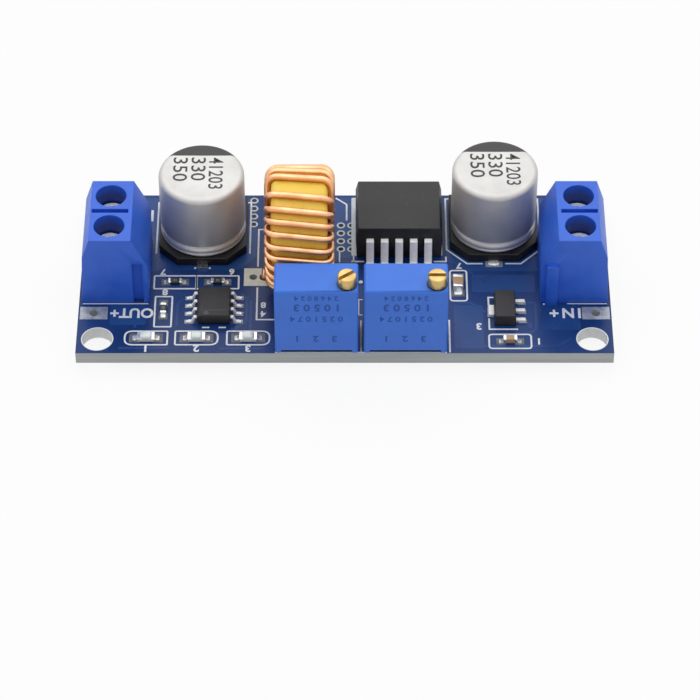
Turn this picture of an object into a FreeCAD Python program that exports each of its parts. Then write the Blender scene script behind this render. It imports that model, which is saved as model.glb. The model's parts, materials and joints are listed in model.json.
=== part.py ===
"""Step-down converter module: circuit board, two screw terminals, toroid inductor and control parts.

Lengths are in millimetres. X runs along the board from the output terminal to the input terminal, Y runs
from the trimmers to the back, and Z is up. Every piece is built with Z = 0 on the board's top face, and
save() then lifts it so that the lead tips end at Z = 0. The origin is under the middle of the board.
"""

import FreeCAD
import Part
import math
import os

Vector = FreeCAD.Vector
UP = Vector(0, 0, 1)

# Circuit board
BOARD_WIDTH = 26.2
BOARD_THICKNESS = 1.6
LEAD_PROTRUSION = 1.2
MOUNTING_HOLE_R = 1.75
MOUNTING_HOLE_INSET_X = 2.4
MOUNTING_HOLE_INSET_Y = 2.26
WIRE_PAD_HOLE_R = 0.5
WIRE_PAD_INSET_X = 1.8
WIRE_PAD_Y = 6.7
BOARD_TOP = LEAD_PROTRUSION + BOARD_THICKNESS
LEAD_TIP_Z = -BOARD_TOP
FRONT_EDGE_Y = -BOARD_WIDTH / 2
BACK_EDGE_Y = BOARD_WIDTH / 2

# Screw terminals: the input one stands at +X, and the output one is the same part turned half round
TERMINAL_EDGE_GAP = 0.35
TERMINAL_DEPTH = 7.8
TERMINAL_LENGTH = 10.0
TERMINAL_HEIGHT = 10.0
TERMINAL_TOP_SETBACK = 1.25
TERMINAL_KNEE_SETBACK = 0.35
TERMINAL_KNEE_Z = 7.2
TERMINAL_SHOULDER_RUN = 1.75
TERMINAL_SHOULDER_DROP = 3.9
POLE_PITCH = 5.0
SCREW_SETBACK = 3.5
SCREW_BORE_R = 1.78
DIVIDER_LENGTH = 4.2
DIVIDER_WIDTH = 0.6
DIVIDER_DEPTH = 1.5
RIB_HEIGHT = 6.2
RIB_ROOT_WIDTH = 1.0
RIB_TIP_WIDTH = 1.4
RIB_REACH = 0.5
RIB_CLEARANCE = 0.08
RIB_INSET = 1.2
INNER_WALL = 1.2
OUTER_WALL = 1.3
WIRE_ENTRY_WIDTH = 3.0
WIRE_ENTRY_SILL_Z = 0.6
WIRE_ENTRY_TOP_Z = 3.5

# Rising clamps, contacts and screws of the terminals
CLAMP_LENGTH = 3.6
CLAMP_WIDTH = 3.5
CLAMP_SIDE_WALL = 0.45
CLAMP_FLOOR_WALL = 0.8
CLAMP_TOP_WALL = 1.0
CLAMP_FLOOR_GAP = 0.1
CLAMP_TONGUE_GAP = 0.1
CLAMP_SIDE_CLEARANCE = 0.1
CLAMP_RISE = 1.7
WIRE_GAP = 1.8
CONTACT_THICKNESS = 0.6
CONTACT_WALL_GAP = 0.2
CONTACT_PIN_WIDTH = 1.0
CONTACT_HOLE_R = 0.7
TONGUE_SIDE_CLEARANCE = 0.1
TONGUE_REACH = 0.1
SCREW_SHANK_R = 1.2
SCREW_THREAD_CLEARANCE = 0.05
SCREW_HEAD_R = 1.6
SCREW_HEAD_HEIGHT = 1.2
SCREW_HEAD_GAP = 0.1
SCREW_SLOT_WIDTH = 0.5
SCREW_SLOT_LENGTH = 2.3
SCREW_SLOT_DEPTH = 0.6
TONGUE_BOTTOM_Z = CLAMP_FLOOR_GAP + CLAMP_FLOOR_WALL + WIRE_GAP
TONGUE_TOP_Z = TONGUE_BOTTOM_Z + CONTACT_THICKNESS
CLAMP_TOP_Z = TONGUE_TOP_Z + CLAMP_TONGUE_GAP + CLAMP_TOP_WALL
SCREW_HEAD_Z = CLAMP_TOP_Z + CLAMP_RISE + SCREW_HEAD_GAP

# Electrolytic capacitors
CAPACITOR_BACK_GAPS = {"output": 1.65, "input": 1.0}
CAN_R = 5.0
CAN_TOP_Z = 10.2
CAN_EDGE = 0.55
CAN_GROOVE_Z = 2.65
CAN_GROOVE_HALF = 0.3
CAN_GROOVE_DEPTH = 0.28
CAN_CURL = 0.35
BASE_SIDE = 10.3
BASE_HEIGHT = 1.15
BASE_CORNER_CUT = 2.2
TAB_WIDTH = 1.2
TAB_THICKNESS = 0.3
TAB_ROOT = 1.8
TAB_REACH = 0.7
TAB_CLEARANCE = 0.03

# Toroid inductor, standing on its rim with its axis along X
INDUCTOR_Y = -0.1
CORE_R = 6.5
CORE_BORE_R = 3.85
CORE_WIDTH = 6.5
CORE_EDGE = 0.35
WIRE_D = 0.8
WIRE_SIDES = 8
WIRE_CORE_GAP = 0.05
WIRE_BOARD_GAP = 0.05
WIRE_BEND = 0.55
OUTER_SLANT_DEG = 6.0
FRONT_TURNS_DEG = (124.0, 112.0, 99.2, 75.0, 59.3, 47.0, 35.2, 22.2, 11.0, -1.2, -14.0)
INNER_LAG = 0.75
TURNS_BEHIND = 9
TURNS_BELOW = 4
INDUCTOR_LEAD_SPAN = 8.4
INDUCTOR_SPARE_SPAN = 11.0
INDUCTOR_LEAD_Y = -0.8
INDUCTOR_LEAD_RISE = 1.0
INDUCTOR_HOLE_R = 0.6
INDUCTOR_SPARE_HOLE_R = 0.45
CORE_Z = CORE_R + WIRE_CORE_GAP + WIRE_D + WIRE_BOARD_GAP

# Regulator: five gull-wing leads in front, heat tab behind
REGULATOR_BACK_GAP = 0.8
REGULATOR_LENGTH = 8.65
REGULATOR_WIDTH = 10.16
REGULATOR_HEIGHT = 4.5
REGULATOR_PARTING_Z = 2.95
REGULATOR_TOP_DRAFT = 0.3
REGULATOR_BOTTOM_DRAFT = 0.12
REGULATOR_LEAD_PITCH = 1.7
REGULATOR_LEAD_WIDTH = 0.9
REGULATOR_LEAD_THICKNESS = 0.5
REGULATOR_LEAD_SHOULDER = 0.5
REGULATOR_LEAD_FOOT_START = 0.95
REGULATOR_LEAD_REACH = 3.2
HEAT_TAB_WIDTH = 9.6
HEAT_TAB_THICKNESS = 1.27
HEAT_TAB_REACH = 1.2
HEAT_TAB_UNDER = 6.4
HEAT_TAB_NOTCH = 0.9

# Trimmers, side by side along the front edge
TRIMMER_OFFSET = 0.59
TRIMMER_GAP = 0.63
TRIMMER_LENGTH = 9.53
TRIMMER_DEPTH = 4.83
TRIMMER_HEIGHT = 9.8
TRIMMER_EDGE_GAP = 0.05
TRIMMER_BEVEL = 0.2
TRIMMER_FOOT_HEIGHT = 0.4
TRIMMER_FOOT_WIDTH = 0.7
TRIMMER_WALL = 0.6
TRIMMER_BASE_THICKNESS = 1.1
TRIMMER_BASE_CLEARANCE = 0.05
TRIMMER_PIN_PITCH = 2.54
TRIMMER_PIN_SIDE = 0.5
TRIMMER_HOLE_R = 0.45
TRIMMER_SCREW_INSET_X = 1.27
TRIMMER_SCREW_INSET_Y = 1.38
TRIMMER_SCREW_R = 1.1
TRIMMER_SCREW_PROUD = 1.45
TRIMMER_SCREW_BEVEL = 0.15
TRIMMER_SHAFT_R = 0.85
TRIMMER_SHAFT_LENGTH = 2.4
TRIMMER_SHAFT_CLEARANCE = 0.05
TRIMMER_POCKET_DEPTH = 0.3
TRIMMER_POCKET_CLEARANCE = 0.07
TRIMMER_SLOT_WIDTH = 0.45
TRIMMER_SLOT_DEPTH = 0.6
TRIMMER_SLOT_TURN_DEG = {"left": 35.0, "right": 0.0}
TRIMMER_FRONT_Y = FRONT_EDGE_Y + TRIMMER_EDGE_GAP
TRIMMER_BACK_Y = TRIMMER_FRONT_Y + TRIMMER_DEPTH
TRIMMER_PIN_Y = TRIMMER_FRONT_Y + TRIMMER_DEPTH / 2

# Amplifier: eight leads, four on each long side
AMPLIFIER_END_DISTANCE = 15.72
AMPLIFIER_EDGE_DISTANCE = 6.92
AMPLIFIER_WIDTH = 3.9
AMPLIFIER_LENGTH = 4.9
AMPLIFIER_HEIGHT = 1.5
AMPLIFIER_STANDOFF = 0.15
AMPLIFIER_DRAFT = 0.14
AMPLIFIER_BEVEL = 0.35
AMPLIFIER_LEAD_PITCH = 1.27
AMPLIFIER_LEAD_WIDTH = 0.42
AMPLIFIER_LEAD_THICKNESS = 0.2
AMPLIFIER_LEAD_SHOULDER = 0.28
AMPLIFIER_LEAD_FOOT_START = 0.5
AMPLIFIER_LEAD_REACH = 1.05

# Reference regulator: flat body, three flat leads and a tab
REFERENCE_END_DISTANCE = 12.33
REFERENCE_EDGE_DISTANCE = 6.6
REFERENCE_WIDTH = 2.5
REFERENCE_LENGTH = 4.5
REFERENCE_HEIGHT = 1.5
REFERENCE_DRAFT = 0.12
REFERENCE_LEAD_PITCH = 1.5
REFERENCE_LEAD_WIDTH = 0.48
REFERENCE_LEAD_THICKNESS = 0.4
REFERENCE_LEAD_REACH = 1.1
REFERENCE_TAB_WIDTH = 1.6
REFERENCE_TAB_REACH = 0.65

# Catch diode, midway between the regulator's leads and the right trimmer
DIODE_LENGTH = 4.6
DIODE_WIDTH = 3.6
DIODE_HEIGHT = 2.3
DIODE_DRAFT = 0.2
DIODE_LEAD_WIDTH = 2.0
DIODE_LEAD_THICKNESS = 0.2
DIODE_LEAD_FOOT = 1.1

# Indicator lamps along the front edge
LAMP_END_DISTANCES = {"left": 8.0, "middle": 13.8, "right": 19.75}
LAMP_EDGE_DISTANCE = 2.4
LAMP_LENGTH = 2.0
LAMP_WIDTH = 1.25
LAMP_BASE_HEIGHT = 0.4
LAMP_LENS_LENGTH = 1.4
LAMP_LENS_HEIGHT = 0.45
LAMP_LENS_DRAFT = 0.1

# Chip parts: length, width, height, end cap length
SMALL_RESISTOR = (1.6, 0.8, 0.45, 0.32)
SHUNT_RESISTOR = (6.4, 3.2, 0.6, 0.7)
SMALL_CAPACITOR = (1.6, 0.8, 0.8, 0.35)
LARGE_CAPACITOR = (2.0, 1.25, 0.9, 0.45)
CAP_PROUD = 0.03
SHUNT_TRIMMER_GAP = 0.32
SIDE_CAPACITOR_DISTANCE = 1.5
SIDE_CAPACITOR_Y = -2.1
RESISTOR_ROW_Y = -1.65
RESISTOR_END_DISTANCES = {"output_side": 11.05, "middle": 16.0, "front": 9.82}
FRONT_RESISTOR_EDGE_DISTANCE = 6.95
FRONT_CAPACITOR_END_DISTANCE = 11.85
FRONT_CAPACITOR_EDGE_DISTANCE = 1.85

# Solder
JOINT_R = 0.95
JOINT_TIP_R = 0.62
JOINT_HEIGHT = 0.7
SMALL_JOINT_SHARE = 0.8
CHIP_SOLDER_LENGTH = 0.55
CHIP_SOLDER_SHARE = 0.7

# How far a cutting shape stands past the face that it opens
OVERCUT = 1.0

# The row of parts along the back, from the output end to the input end, sets the board's length
OUTPUT_CAPACITOR_GAP = 0.85
WINDING_GAP = 2.25
REGULATOR_GAP = 2.37
INPUT_CAPACITOR_GAP = 0.92
INPUT_TERMINAL_GAP = 0.05
WINDING_WIDTH = CORE_WIDTH + 2 * (WIRE_CORE_GAP + WIRE_D)
TERMINAL_REACH = TERMINAL_EDGE_GAP + TERMINAL_DEPTH
OUTPUT_HALF = TERMINAL_REACH + OUTPUT_CAPACITOR_GAP + BASE_SIDE + WINDING_GAP
INPUT_HALF = TERMINAL_REACH + INPUT_TERMINAL_GAP + BASE_SIDE + INPUT_CAPACITOR_GAP
BOARD_LENGTH = OUTPUT_HALF + WINDING_WIDTH + REGULATOR_GAP + REGULATOR_WIDTH + INPUT_HALF
OUTPUT_END_X = -BOARD_LENGTH / 2
INPUT_END_X = BOARD_LENGTH / 2
TERMINAL_OUTER_X = INPUT_END_X - TERMINAL_EDGE_GAP
TERMINAL_INNER_X = INPUT_END_X - TERMINAL_REACH
SCREW_X = TERMINAL_OUTER_X - SCREW_SETBACK
CONTACT_X = TERMINAL_INNER_X + INNER_WALL + CONTACT_WALL_GAP
INDUCTOR_X = OUTPUT_END_X + OUTPUT_HALF + WINDING_WIDTH / 2
REGULATOR_X = INPUT_END_X - INPUT_HALF - REGULATOR_WIDTH / 2
REGULATOR_FRONT_Y = BACK_EDGE_Y - REGULATOR_BACK_GAP - HEAT_TAB_REACH - REGULATOR_LENGTH
CAPACITOR_PLACES = {
    "output": (
        OUTPUT_END_X + TERMINAL_REACH + OUTPUT_CAPACITOR_GAP + BASE_SIDE / 2,
        BACK_EDGE_Y - CAPACITOR_BACK_GAPS["output"] - BASE_SIDE / 2,
    ),
    "input": (
        INPUT_END_X - TERMINAL_REACH - INPUT_TERMINAL_GAP - BASE_SIDE / 2,
        BACK_EDGE_Y - CAPACITOR_BACK_GAPS["input"] - BASE_SIDE / 2,
    ),
}

# The parts in front of that row stand off the board's edges and their neighbours
TRIMMER_PLACES = {
    "left": REGULATOR_X + TRIMMER_OFFSET - TRIMMER_LENGTH - TRIMMER_GAP,
    "right": REGULATOR_X + TRIMMER_OFFSET,
}
AMPLIFIER_PLACE = (OUTPUT_END_X + AMPLIFIER_END_DISTANCE, FRONT_EDGE_Y + AMPLIFIER_EDGE_DISTANCE)
REFERENCE_PLACE = (INPUT_END_X - REFERENCE_END_DISTANCE, FRONT_EDGE_Y + REFERENCE_EDGE_DISTANCE)
DIODE_PLACE = (REGULATOR_X, (TRIMMER_BACK_Y + REGULATOR_FRONT_Y - REGULATOR_LEAD_REACH) / 2)
LAMP_PLACES = {name: OUTPUT_END_X + distance for name, distance in LAMP_END_DISTANCES.items()}
LAMP_Y = FRONT_EDGE_Y + LAMP_EDGE_DISTANCE
SHUNT_Y = TRIMMER_BACK_Y + SHUNT_TRIMMER_GAP + SHUNT_RESISTOR[1] / 2
SIDE_CAPACITOR_X = TRIMMER_PLACES["right"] + TRIMMER_LENGTH / 2 + SIDE_CAPACITOR_DISTANCE
RESISTOR_PLACES = {name: OUTPUT_END_X + distance for name, distance in RESISTOR_END_DISTANCES.items()}
FRONT_RESISTOR_Y = FRONT_EDGE_Y + FRONT_RESISTOR_EDGE_DISTANCE
FRONT_CAPACITOR_X = INPUT_END_X - FRONT_CAPACITOR_END_DISTANCE
FRONT_CAPACITOR_Y = FRONT_EDGE_Y + FRONT_CAPACITOR_EDGE_DISTANCE
# Chip places: node, sizes, x, y, quarter turns
CHIP_PLACES = (
    ("output_side_resistor", SMALL_RESISTOR, RESISTOR_PLACES["output_side"], RESISTOR_ROW_Y, 0),
    ("middle_resistor", SMALL_RESISTOR, RESISTOR_PLACES["middle"], RESISTOR_ROW_Y, 0),
    ("front_resistor", SMALL_RESISTOR, RESISTOR_PLACES["front"], FRONT_RESISTOR_Y, 1),
    ("shunt_resistor", SHUNT_RESISTOR, TRIMMER_PLACES["left"], SHUNT_Y, 0),
    ("trimmer_side_capacitor", LARGE_CAPACITOR, SIDE_CAPACITOR_X, SIDE_CAPACITOR_Y, 1),
    ("front_edge_capacitor", SMALL_CAPACITOR, FRONT_CAPACITOR_X, FRONT_CAPACITOR_Y, 0),
)


def box(x0, x1, y0, y1, z0, z1):
    """Box between two corners."""
    return Part.makeBox(x1 - x0, y1 - y0, z1 - z0, Vector(x0, y0, z0))


def centred_box(x, y, length, width, z0, z1):
    """Box of a length along X and a width along Y, centred on a place."""
    return box(x - length / 2, x + length / 2, y - width / 2, y + width / 2, z0, z1)


def rod(x, y, r, z0, z1):
    """Upright cylinder."""
    return Part.makeCylinder(r, z1 - z0, Vector(x, y, z0))


def prism(points, sweep):
    """Solid swept from a flat outline."""
    return Part.Face(Part.makePolygon(points + points[:1])).extrude(sweep)


def faceted(rings):
    """Solid with flat sides through a row of rings, each a list of the same number of corners."""
    faces = [Part.Face(Part.makePolygon(ring + ring[:1])) for ring in (rings[0], rings[-1])]
    for low, high in zip(rings, rings[1:]):
        for a, b, c, d in zip(low, low[1:] + low[:1], high[1:] + high[:1], high):
            faces.append(Part.Face(Part.makePolygon([a, b, c, d, a])))
    shell = Part.makeShell(faces)
    shell.sewShape()
    solid = Part.makeSolid(Part.Shell(shell.Faces))
    if solid.Volume < 0:
        solid.reverse()
    return solid


def drafted_block(x, y, length, width, levels):
    """Moulded body: rectangles, each drawn in by its own draft, as (z, draft) from the bottom up."""
    rings = []
    for z, draft in levels:
        half_x = length / 2 - draft
        half_y = width / 2 - draft
        corners = ((-half_x, -half_y), (half_x, -half_y), (half_x, half_y), (-half_x, half_y))
        rings.append([Vector(x + u, y + v, z) for u, v in corners])
    return faceted(rings)


def eight_sided_taper(x, y, low_r, high_r, z0, z1):
    """Upright eight-sided taper, for the small holes and solder joints of the leads."""
    turns = [math.pi * (i + 0.5) / 4 for i in range(8)]
    return faceted([
        [Vector(x + r * math.cos(turn), y + r * math.sin(turn), z) for turn in turns]
        for r, z in ((low_r, z0), (high_r, z1))
    ])


def turned(points, x, y):
    """Solid of revolution about an upright axis, from (radius, z) points that start and end on the axis."""
    outline = [Vector(x + r, y, z) for r, z in points]
    return Part.Face(Part.makePolygon(outline + outline[:1])).revolve(Vector(x, y, 0), UP, 360)


def turn_about(shape, x, y, degrees):
    """Copy of a shape turned about an upright axis."""
    copy = shape.copy()
    copy.rotate(Vector(x, y, 0), UP, degrees)
    return copy


def gull_wing(thickness, width, exit_z, shoulder, foot_start, reach):
    """Lead that leaves a body along +X at X = 0: a shoulder, a slope down to the board and a flat foot."""
    low = exit_z - thickness / 2
    high = exit_z + thickness / 2
    outline = [
        (0, low),
        (shoulder - thickness / 2, low),
        (foot_start, 0),
        (reach, 0),
        (reach, thickness),
        (foot_start + thickness * 0.8, thickness),
        (shoulder + thickness / 3, high),
        (0, high),
    ]
    return prism([Vector(u, -width / 2, z) for u, z in outline], Vector(0, width, 0))


def placed(shape, x, y, degrees):
    """Copy of a shape built at the origin, turned about Z and moved to its place."""
    copy = turn_about(shape, 0, 0, degrees)
    copy.translate(Vector(x, y, 0))
    return copy


def row_of(count, pitch):
    """Evenly spaced offsets, centred on zero."""
    return [(i - (count - 1) / 2) * pitch for i in range(count)]


def poles():
    """Each terminal pole as (name, its place along Y before the part is turned, turn of the part)."""
    half = POLE_PITCH / 2
    return (
        ("output_plus", half, 180),
        ("output_minus", -half, 180),
        ("input_plus", -half, 0),
        ("input_minus", half, 0),
    )


def contact_pin(y):
    """The upright pin of one contact, from under its riser to the lead tips."""
    x = CONTACT_X + CONTACT_THICKNESS / 2
    return centred_box(x, y, CONTACT_THICKNESS, CONTACT_PIN_WIDTH, LEAD_TIP_Z, 0)


def contact_pins():
    """All four contact pins, in place."""
    return [turn_about(contact_pin(y), 0, 0, turn) for _, y, turn in poles()]


def trimmer_pins(x):
    """The three upright pins of one trimmer, from inside its base to the lead tips."""
    top = TRIMMER_FOOT_HEIGHT + TRIMMER_BASE_THICKNESS / 2
    return [
        centred_box(x + offset, TRIMMER_PIN_Y, TRIMMER_PIN_SIDE, TRIMMER_PIN_SIDE, LEAD_TIP_Z, top)
        for offset in row_of(3, TRIMMER_PIN_PITCH)
    ]


def beside_inductor(span):
    """Two places on the board, one on each side of the inductor, a span apart."""
    return [(INDUCTOR_X + side * span / 2, INDUCTOR_LEAD_Y) for side in (-1, 1)]


def four_corners(x, y):
    """The four places that mirror one place in both middle planes."""
    return [(sx * x, sy * y) for sx in (-1, 1) for sy in (-1, 1)]


def circuit_board():
    """Board blank with its mounting holes, wire pads and lead holes."""
    blank = centred_box(0, 0, BOARD_LENGTH, BOARD_WIDTH, -BOARD_THICKNESS, 0)
    hole_x = INPUT_END_X - MOUNTING_HOLE_INSET_X
    hole_y = BACK_EDGE_Y - MOUNTING_HOLE_INSET_Y
    holes = [(x, y, MOUNTING_HOLE_R) for x, y in four_corners(hole_x, hole_y)]
    pad_x = INPUT_END_X - WIRE_PAD_INSET_X
    holes += [(x, y, WIRE_PAD_HOLE_R) for x, y in four_corners(pad_x, WIRE_PAD_Y)]
    pin_x = CONTACT_X + CONTACT_THICKNESS / 2
    lead_holes = [(x, y, CONTACT_HOLE_R) for x, y in four_corners(pin_x, POLE_PITCH / 2)]
    for x in TRIMMER_PLACES.values():
        pin_places = [x + offset for offset in row_of(3, TRIMMER_PIN_PITCH)]
        lead_holes += [(pin_x, TRIMMER_PIN_Y, TRIMMER_HOLE_R) for pin_x in pin_places]
    lead_holes += [(x, y, INDUCTOR_HOLE_R) for x, y in beside_inductor(INDUCTOR_LEAD_SPAN)]
    lead_holes += [(x, y, INDUCTOR_SPARE_HOLE_R) for x, y in beside_inductor(INDUCTOR_SPARE_SPAN)]
    low, high = -2 * BOARD_THICKNESS, BOARD_THICKNESS
    drills = [rod(x, y, r, low, high) for x, y, r in holes]
    drills += [eight_sided_taper(x, y, r, r, low, high) for x, y, r in lead_holes]
    return blank.cut(drills)


def dovetail(face_y, extra):
    """Upright dovetail that stands out of an end face towards -Y, grown all round by extra."""
    x = TERMINAL_INNER_X + RIB_INSET
    root = RIB_ROOT_WIDTH / 2 + extra
    tip = RIB_TIP_WIDTH / 2 + extra
    reach = RIB_REACH + extra
    outline = [
        Vector(x - root, face_y, 0),
        Vector(x - tip, face_y - reach, 0),
        Vector(x + tip, face_y - reach, 0),
        Vector(x + root, face_y, 0),
    ]
    return prism(outline, UP * (RIB_HEIGHT + extra))


def terminal_housing():
    """Moulded housing at the input end: sloped block with clamp wells, wire entries and screw bores."""
    outline = [
        (TERMINAL_INNER_X, 0),
        (TERMINAL_OUTER_X, 0),
        (TERMINAL_OUTER_X - TERMINAL_KNEE_SETBACK, TERMINAL_KNEE_Z),
        (TERMINAL_OUTER_X - TERMINAL_TOP_SETBACK, TERMINAL_HEIGHT),
        (TERMINAL_INNER_X + TERMINAL_SHOULDER_RUN, TERMINAL_HEIGHT),
        (TERMINAL_INNER_X, TERMINAL_HEIGHT - TERMINAL_SHOULDER_DROP),
    ]
    half = TERMINAL_LENGTH / 2
    block = prism([Vector(x, -half, z) for x, z in outline], Vector(0, TERMINAL_LENGTH, 0))
    well_half = CLAMP_WIDTH / 2 + CLAMP_SIDE_CLEARANCE
    well_x = (TERMINAL_INNER_X + INNER_WALL, TERMINAL_OUTER_X - OUTER_WALL)
    cuts = []
    for y in row_of(2, POLE_PITCH):
        cuts.append(box(*well_x, y - well_half, y + well_half, -OVERCUT, SCREW_HEAD_Z))
        cuts.append(rod(SCREW_X, y, SCREW_BORE_R, SCREW_HEAD_Z - OVERCUT, TERMINAL_HEIGHT + OVERCUT))
        entry = (y - WIRE_ENTRY_WIDTH / 2, y + WIRE_ENTRY_WIDTH / 2)
        entry_x = (well_x[1] - OVERCUT, TERMINAL_OUTER_X + OVERCUT)
        cuts.append(box(*entry_x, *entry, WIRE_ENTRY_SILL_Z, WIRE_ENTRY_TOP_Z))
    groove_z = (TERMINAL_HEIGHT - DIVIDER_DEPTH, TERMINAL_HEIGHT + OVERCUT)
    cuts.append(centred_box(SCREW_X, 0, DIVIDER_LENGTH, DIVIDER_WIDTH, *groove_z))
    cuts.append(dovetail(half, RIB_CLEARANCE))
    return block.cut(cuts).fuse(dovetail(-half, 0)).removeSplitter()


def terminal_clamp(y):
    """Rising clamp: a square tube along X whose top wall is threaded for the screw."""
    floor_z = CLAMP_FLOOR_GAP
    outer = centred_box(SCREW_X, y, CLAMP_LENGTH, CLAMP_WIDTH, floor_z, CLAMP_TOP_Z)
    mouth_width = CLAMP_WIDTH - 2 * CLAMP_SIDE_WALL
    mouth = centred_box(
        SCREW_X, y, 2 * CLAMP_LENGTH, mouth_width, floor_z + CLAMP_FLOOR_WALL, CLAMP_TOP_Z - CLAMP_TOP_WALL
    )
    thread = rod(SCREW_X, y, SCREW_SHANK_R + SCREW_THREAD_CLEARANCE, TONGUE_TOP_Z, CLAMP_TOP_Z + OVERCUT)
    return outer.cut([mouth, thread])


def terminal_contact(y):
    """Bent contact: a pin through the board, a riser and the tongue that the wire is clamped against."""
    half = CLAMP_WIDTH / 2 - CLAMP_SIDE_WALL - TONGUE_SIDE_CLEARANCE
    riser = box(CONTACT_X, CONTACT_X + CONTACT_THICKNESS, y - half, y + half, 0, TONGUE_TOP_Z)
    tongue_end = SCREW_X + CLAMP_LENGTH / 2 + TONGUE_REACH
    tongue = box(CONTACT_X, tongue_end, y - half, y + half, TONGUE_BOTTOM_Z, TONGUE_TOP_Z)
    return riser.fuse([tongue, contact_pin(y)]).removeSplitter()


def terminal_screw(y):
    """Clamp screw: flat head with a crossed slot, and a shank whose tip stands on the tongue."""
    head_top = SCREW_HEAD_Z + SCREW_HEAD_HEIGHT
    outline = [
        (0, TONGUE_TOP_Z),
        (SCREW_SHANK_R, TONGUE_TOP_Z),
        (SCREW_SHANK_R, SCREW_HEAD_Z),
        (SCREW_HEAD_R, SCREW_HEAD_Z),
        (SCREW_HEAD_R, head_top),
        (0, head_top),
    ]
    slot_floor = head_top - SCREW_SLOT_DEPTH
    slots = [
        centred_box(SCREW_X, y, SCREW_SLOT_LENGTH, SCREW_SLOT_WIDTH, slot_floor, head_top + OVERCUT),
        centred_box(SCREW_X, y, SCREW_SLOT_WIDTH, SCREW_SLOT_LENGTH, slot_floor, head_top + OVERCUT),
    ]
    return turned(outline, SCREW_X, y).cut(slots)


def capacitor_can(x, y):
    """Aluminium can: rounded top edge, a rolled groove and a curled lower edge that stands on the base."""
    radius = CAN_R
    cut = CAN_EDGE * (1 - math.sqrt(0.5))
    outline = [
        (0, BASE_HEIGHT),
        (radius - CAN_CURL, BASE_HEIGHT),
        (radius, BASE_HEIGHT + CAN_CURL),
        (radius, CAN_GROOVE_Z - CAN_GROOVE_HALF),
        (radius - CAN_GROOVE_DEPTH, CAN_GROOVE_Z),
        (radius, CAN_GROOVE_Z + CAN_GROOVE_HALF),
        (radius, CAN_TOP_Z - CAN_EDGE),
        (radius - cut, CAN_TOP_Z - cut),
        (radius - CAN_EDGE, CAN_TOP_Z),
        (0, CAN_TOP_Z),
    ]
    return turned(outline, x, y)


def capacitor_tabs(x, y):
    """The two flat solder tabs, front and back, that lie in slots under the base."""
    reach = BASE_SIDE / 2 + TAB_REACH
    middle = (TAB_ROOT + reach) / 2
    return [
        centred_box(x, y + side * middle, TAB_WIDTH, reach - TAB_ROOT, 0, TAB_THICKNESS) for side in (-1, 1)
    ]


def capacitor_base(x, y):
    """Moulded base: a square plate with its two front corners cut off and two tab slots below."""
    half = BASE_SIDE / 2
    cut = BASE_CORNER_CUT
    corners = [
        (half, half),
        (-half, half),
        (-half, cut - half),
        (cut - half, -half),
        (half - cut, -half),
        (half, cut - half),
    ]
    block = prism([Vector(x + u, y + v, 0) for u, v in corners], UP * BASE_HEIGHT)
    slot = centred_box(x, y, TAB_WIDTH + 2 * TAB_CLEARANCE, 2 * BASE_SIDE, -OVERCUT, TAB_THICKNESS)
    bridge = centred_box(x, y, TAB_WIDTH + OVERCUT, 2 * TAB_ROOT, -OVERCUT, TAB_THICKNESS)
    return block.cut(slot.cut(bridge))


def inductor_core():
    """Ring core with bevelled outer edges, its axis along X."""
    half = CORE_WIDTH / 2
    edge = CORE_EDGE
    outline = [
        (CORE_BORE_R, -half),
        (CORE_R - edge, -half),
        (CORE_R, -half + edge),
        (CORE_R, half - edge),
        (CORE_R - edge, half),
        (CORE_BORE_R, half),
    ]
    centre = Vector(INDUCTOR_X, INDUCTOR_Y, CORE_Z)
    points = [centre + Vector(along, 0, r) for r, along in outline]
    return Part.Face(Part.makePolygon(points + points[:1])).revolve(centre, Vector(1, 0, 0), 360)


def turn_angles():
    """Angle of each turn's outer run and inner run, from the front (0) over the top (90), last turn lowest.

    The outer runs lie where the hand winding left them. The inner runs lie side by side in the bore, each
    a share of a turn further on.
    """
    first, last = FRONT_TURNS_DEG[0], FRONT_TURNS_DEG[-1]
    pitch = (first - last) / (len(FRONT_TURNS_DEG) - 1)
    outer = [first + pitch * (TURNS_BEHIND - i) for i in range(TURNS_BEHIND)]
    outer += FRONT_TURNS_DEG
    outer += [last - pitch * (i + 1) for i in range(TURNS_BELOW)]
    inner = [first + pitch * (TURNS_BEHIND - INNER_LAG - i) for i in range(len(outer))]
    return list(zip(outer, inner))


def on_core(along, radius, degrees):
    """Point beside the core: a distance along its axis, a radius and an angle from the front over the top."""
    angle = math.radians(degrees)
    return Vector(
        INDUCTOR_X + along, INDUCTOR_Y - radius * math.cos(angle), CORE_Z + radius * math.sin(angle)
    )


def winding_route():
    """Corners of the wire's middle line, from the left lead tip round the core to the right lead tip.

    Each corner is (place, cut): the length that its bend takes off each arm, or 0 where it is bent sharp
    over the rim of the bore.
    """
    half_wire = WIRE_D / 2
    side = CORE_WIDTH / 2 + WIRE_CORE_GAP + half_wire
    outer_r = CORE_R + WIRE_CORE_GAP + half_wire
    inner_r = CORE_BORE_R - WIRE_CORE_GAP - half_wire
    slant = OUTER_SLANT_DEG / 2
    left, right = [Vector(x, y, 0) for x, y in beside_inductor(INDUCTOR_LEAD_SPAN)]
    route = [(left + UP * LEAD_TIP_Z, 0), (left + UP * INDUCTOR_LEAD_RISE, WIRE_BEND)]
    turns = turn_angles()
    for outer, inner in turns:
        route.append((on_core(-side, outer_r, outer + slant), WIRE_BEND))
        route.append((on_core(side, outer_r, outer - slant), WIRE_BEND))
        route.append((on_core(side, inner_r, inner), 0))
        route.append((on_core(-side, inner_r, inner), 0))
    route = route[:-2]
    route += [(right + UP * INDUCTOR_LEAD_RISE, WIRE_BEND), (right + UP * LEAD_TIP_Z, 0)]
    return route


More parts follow.
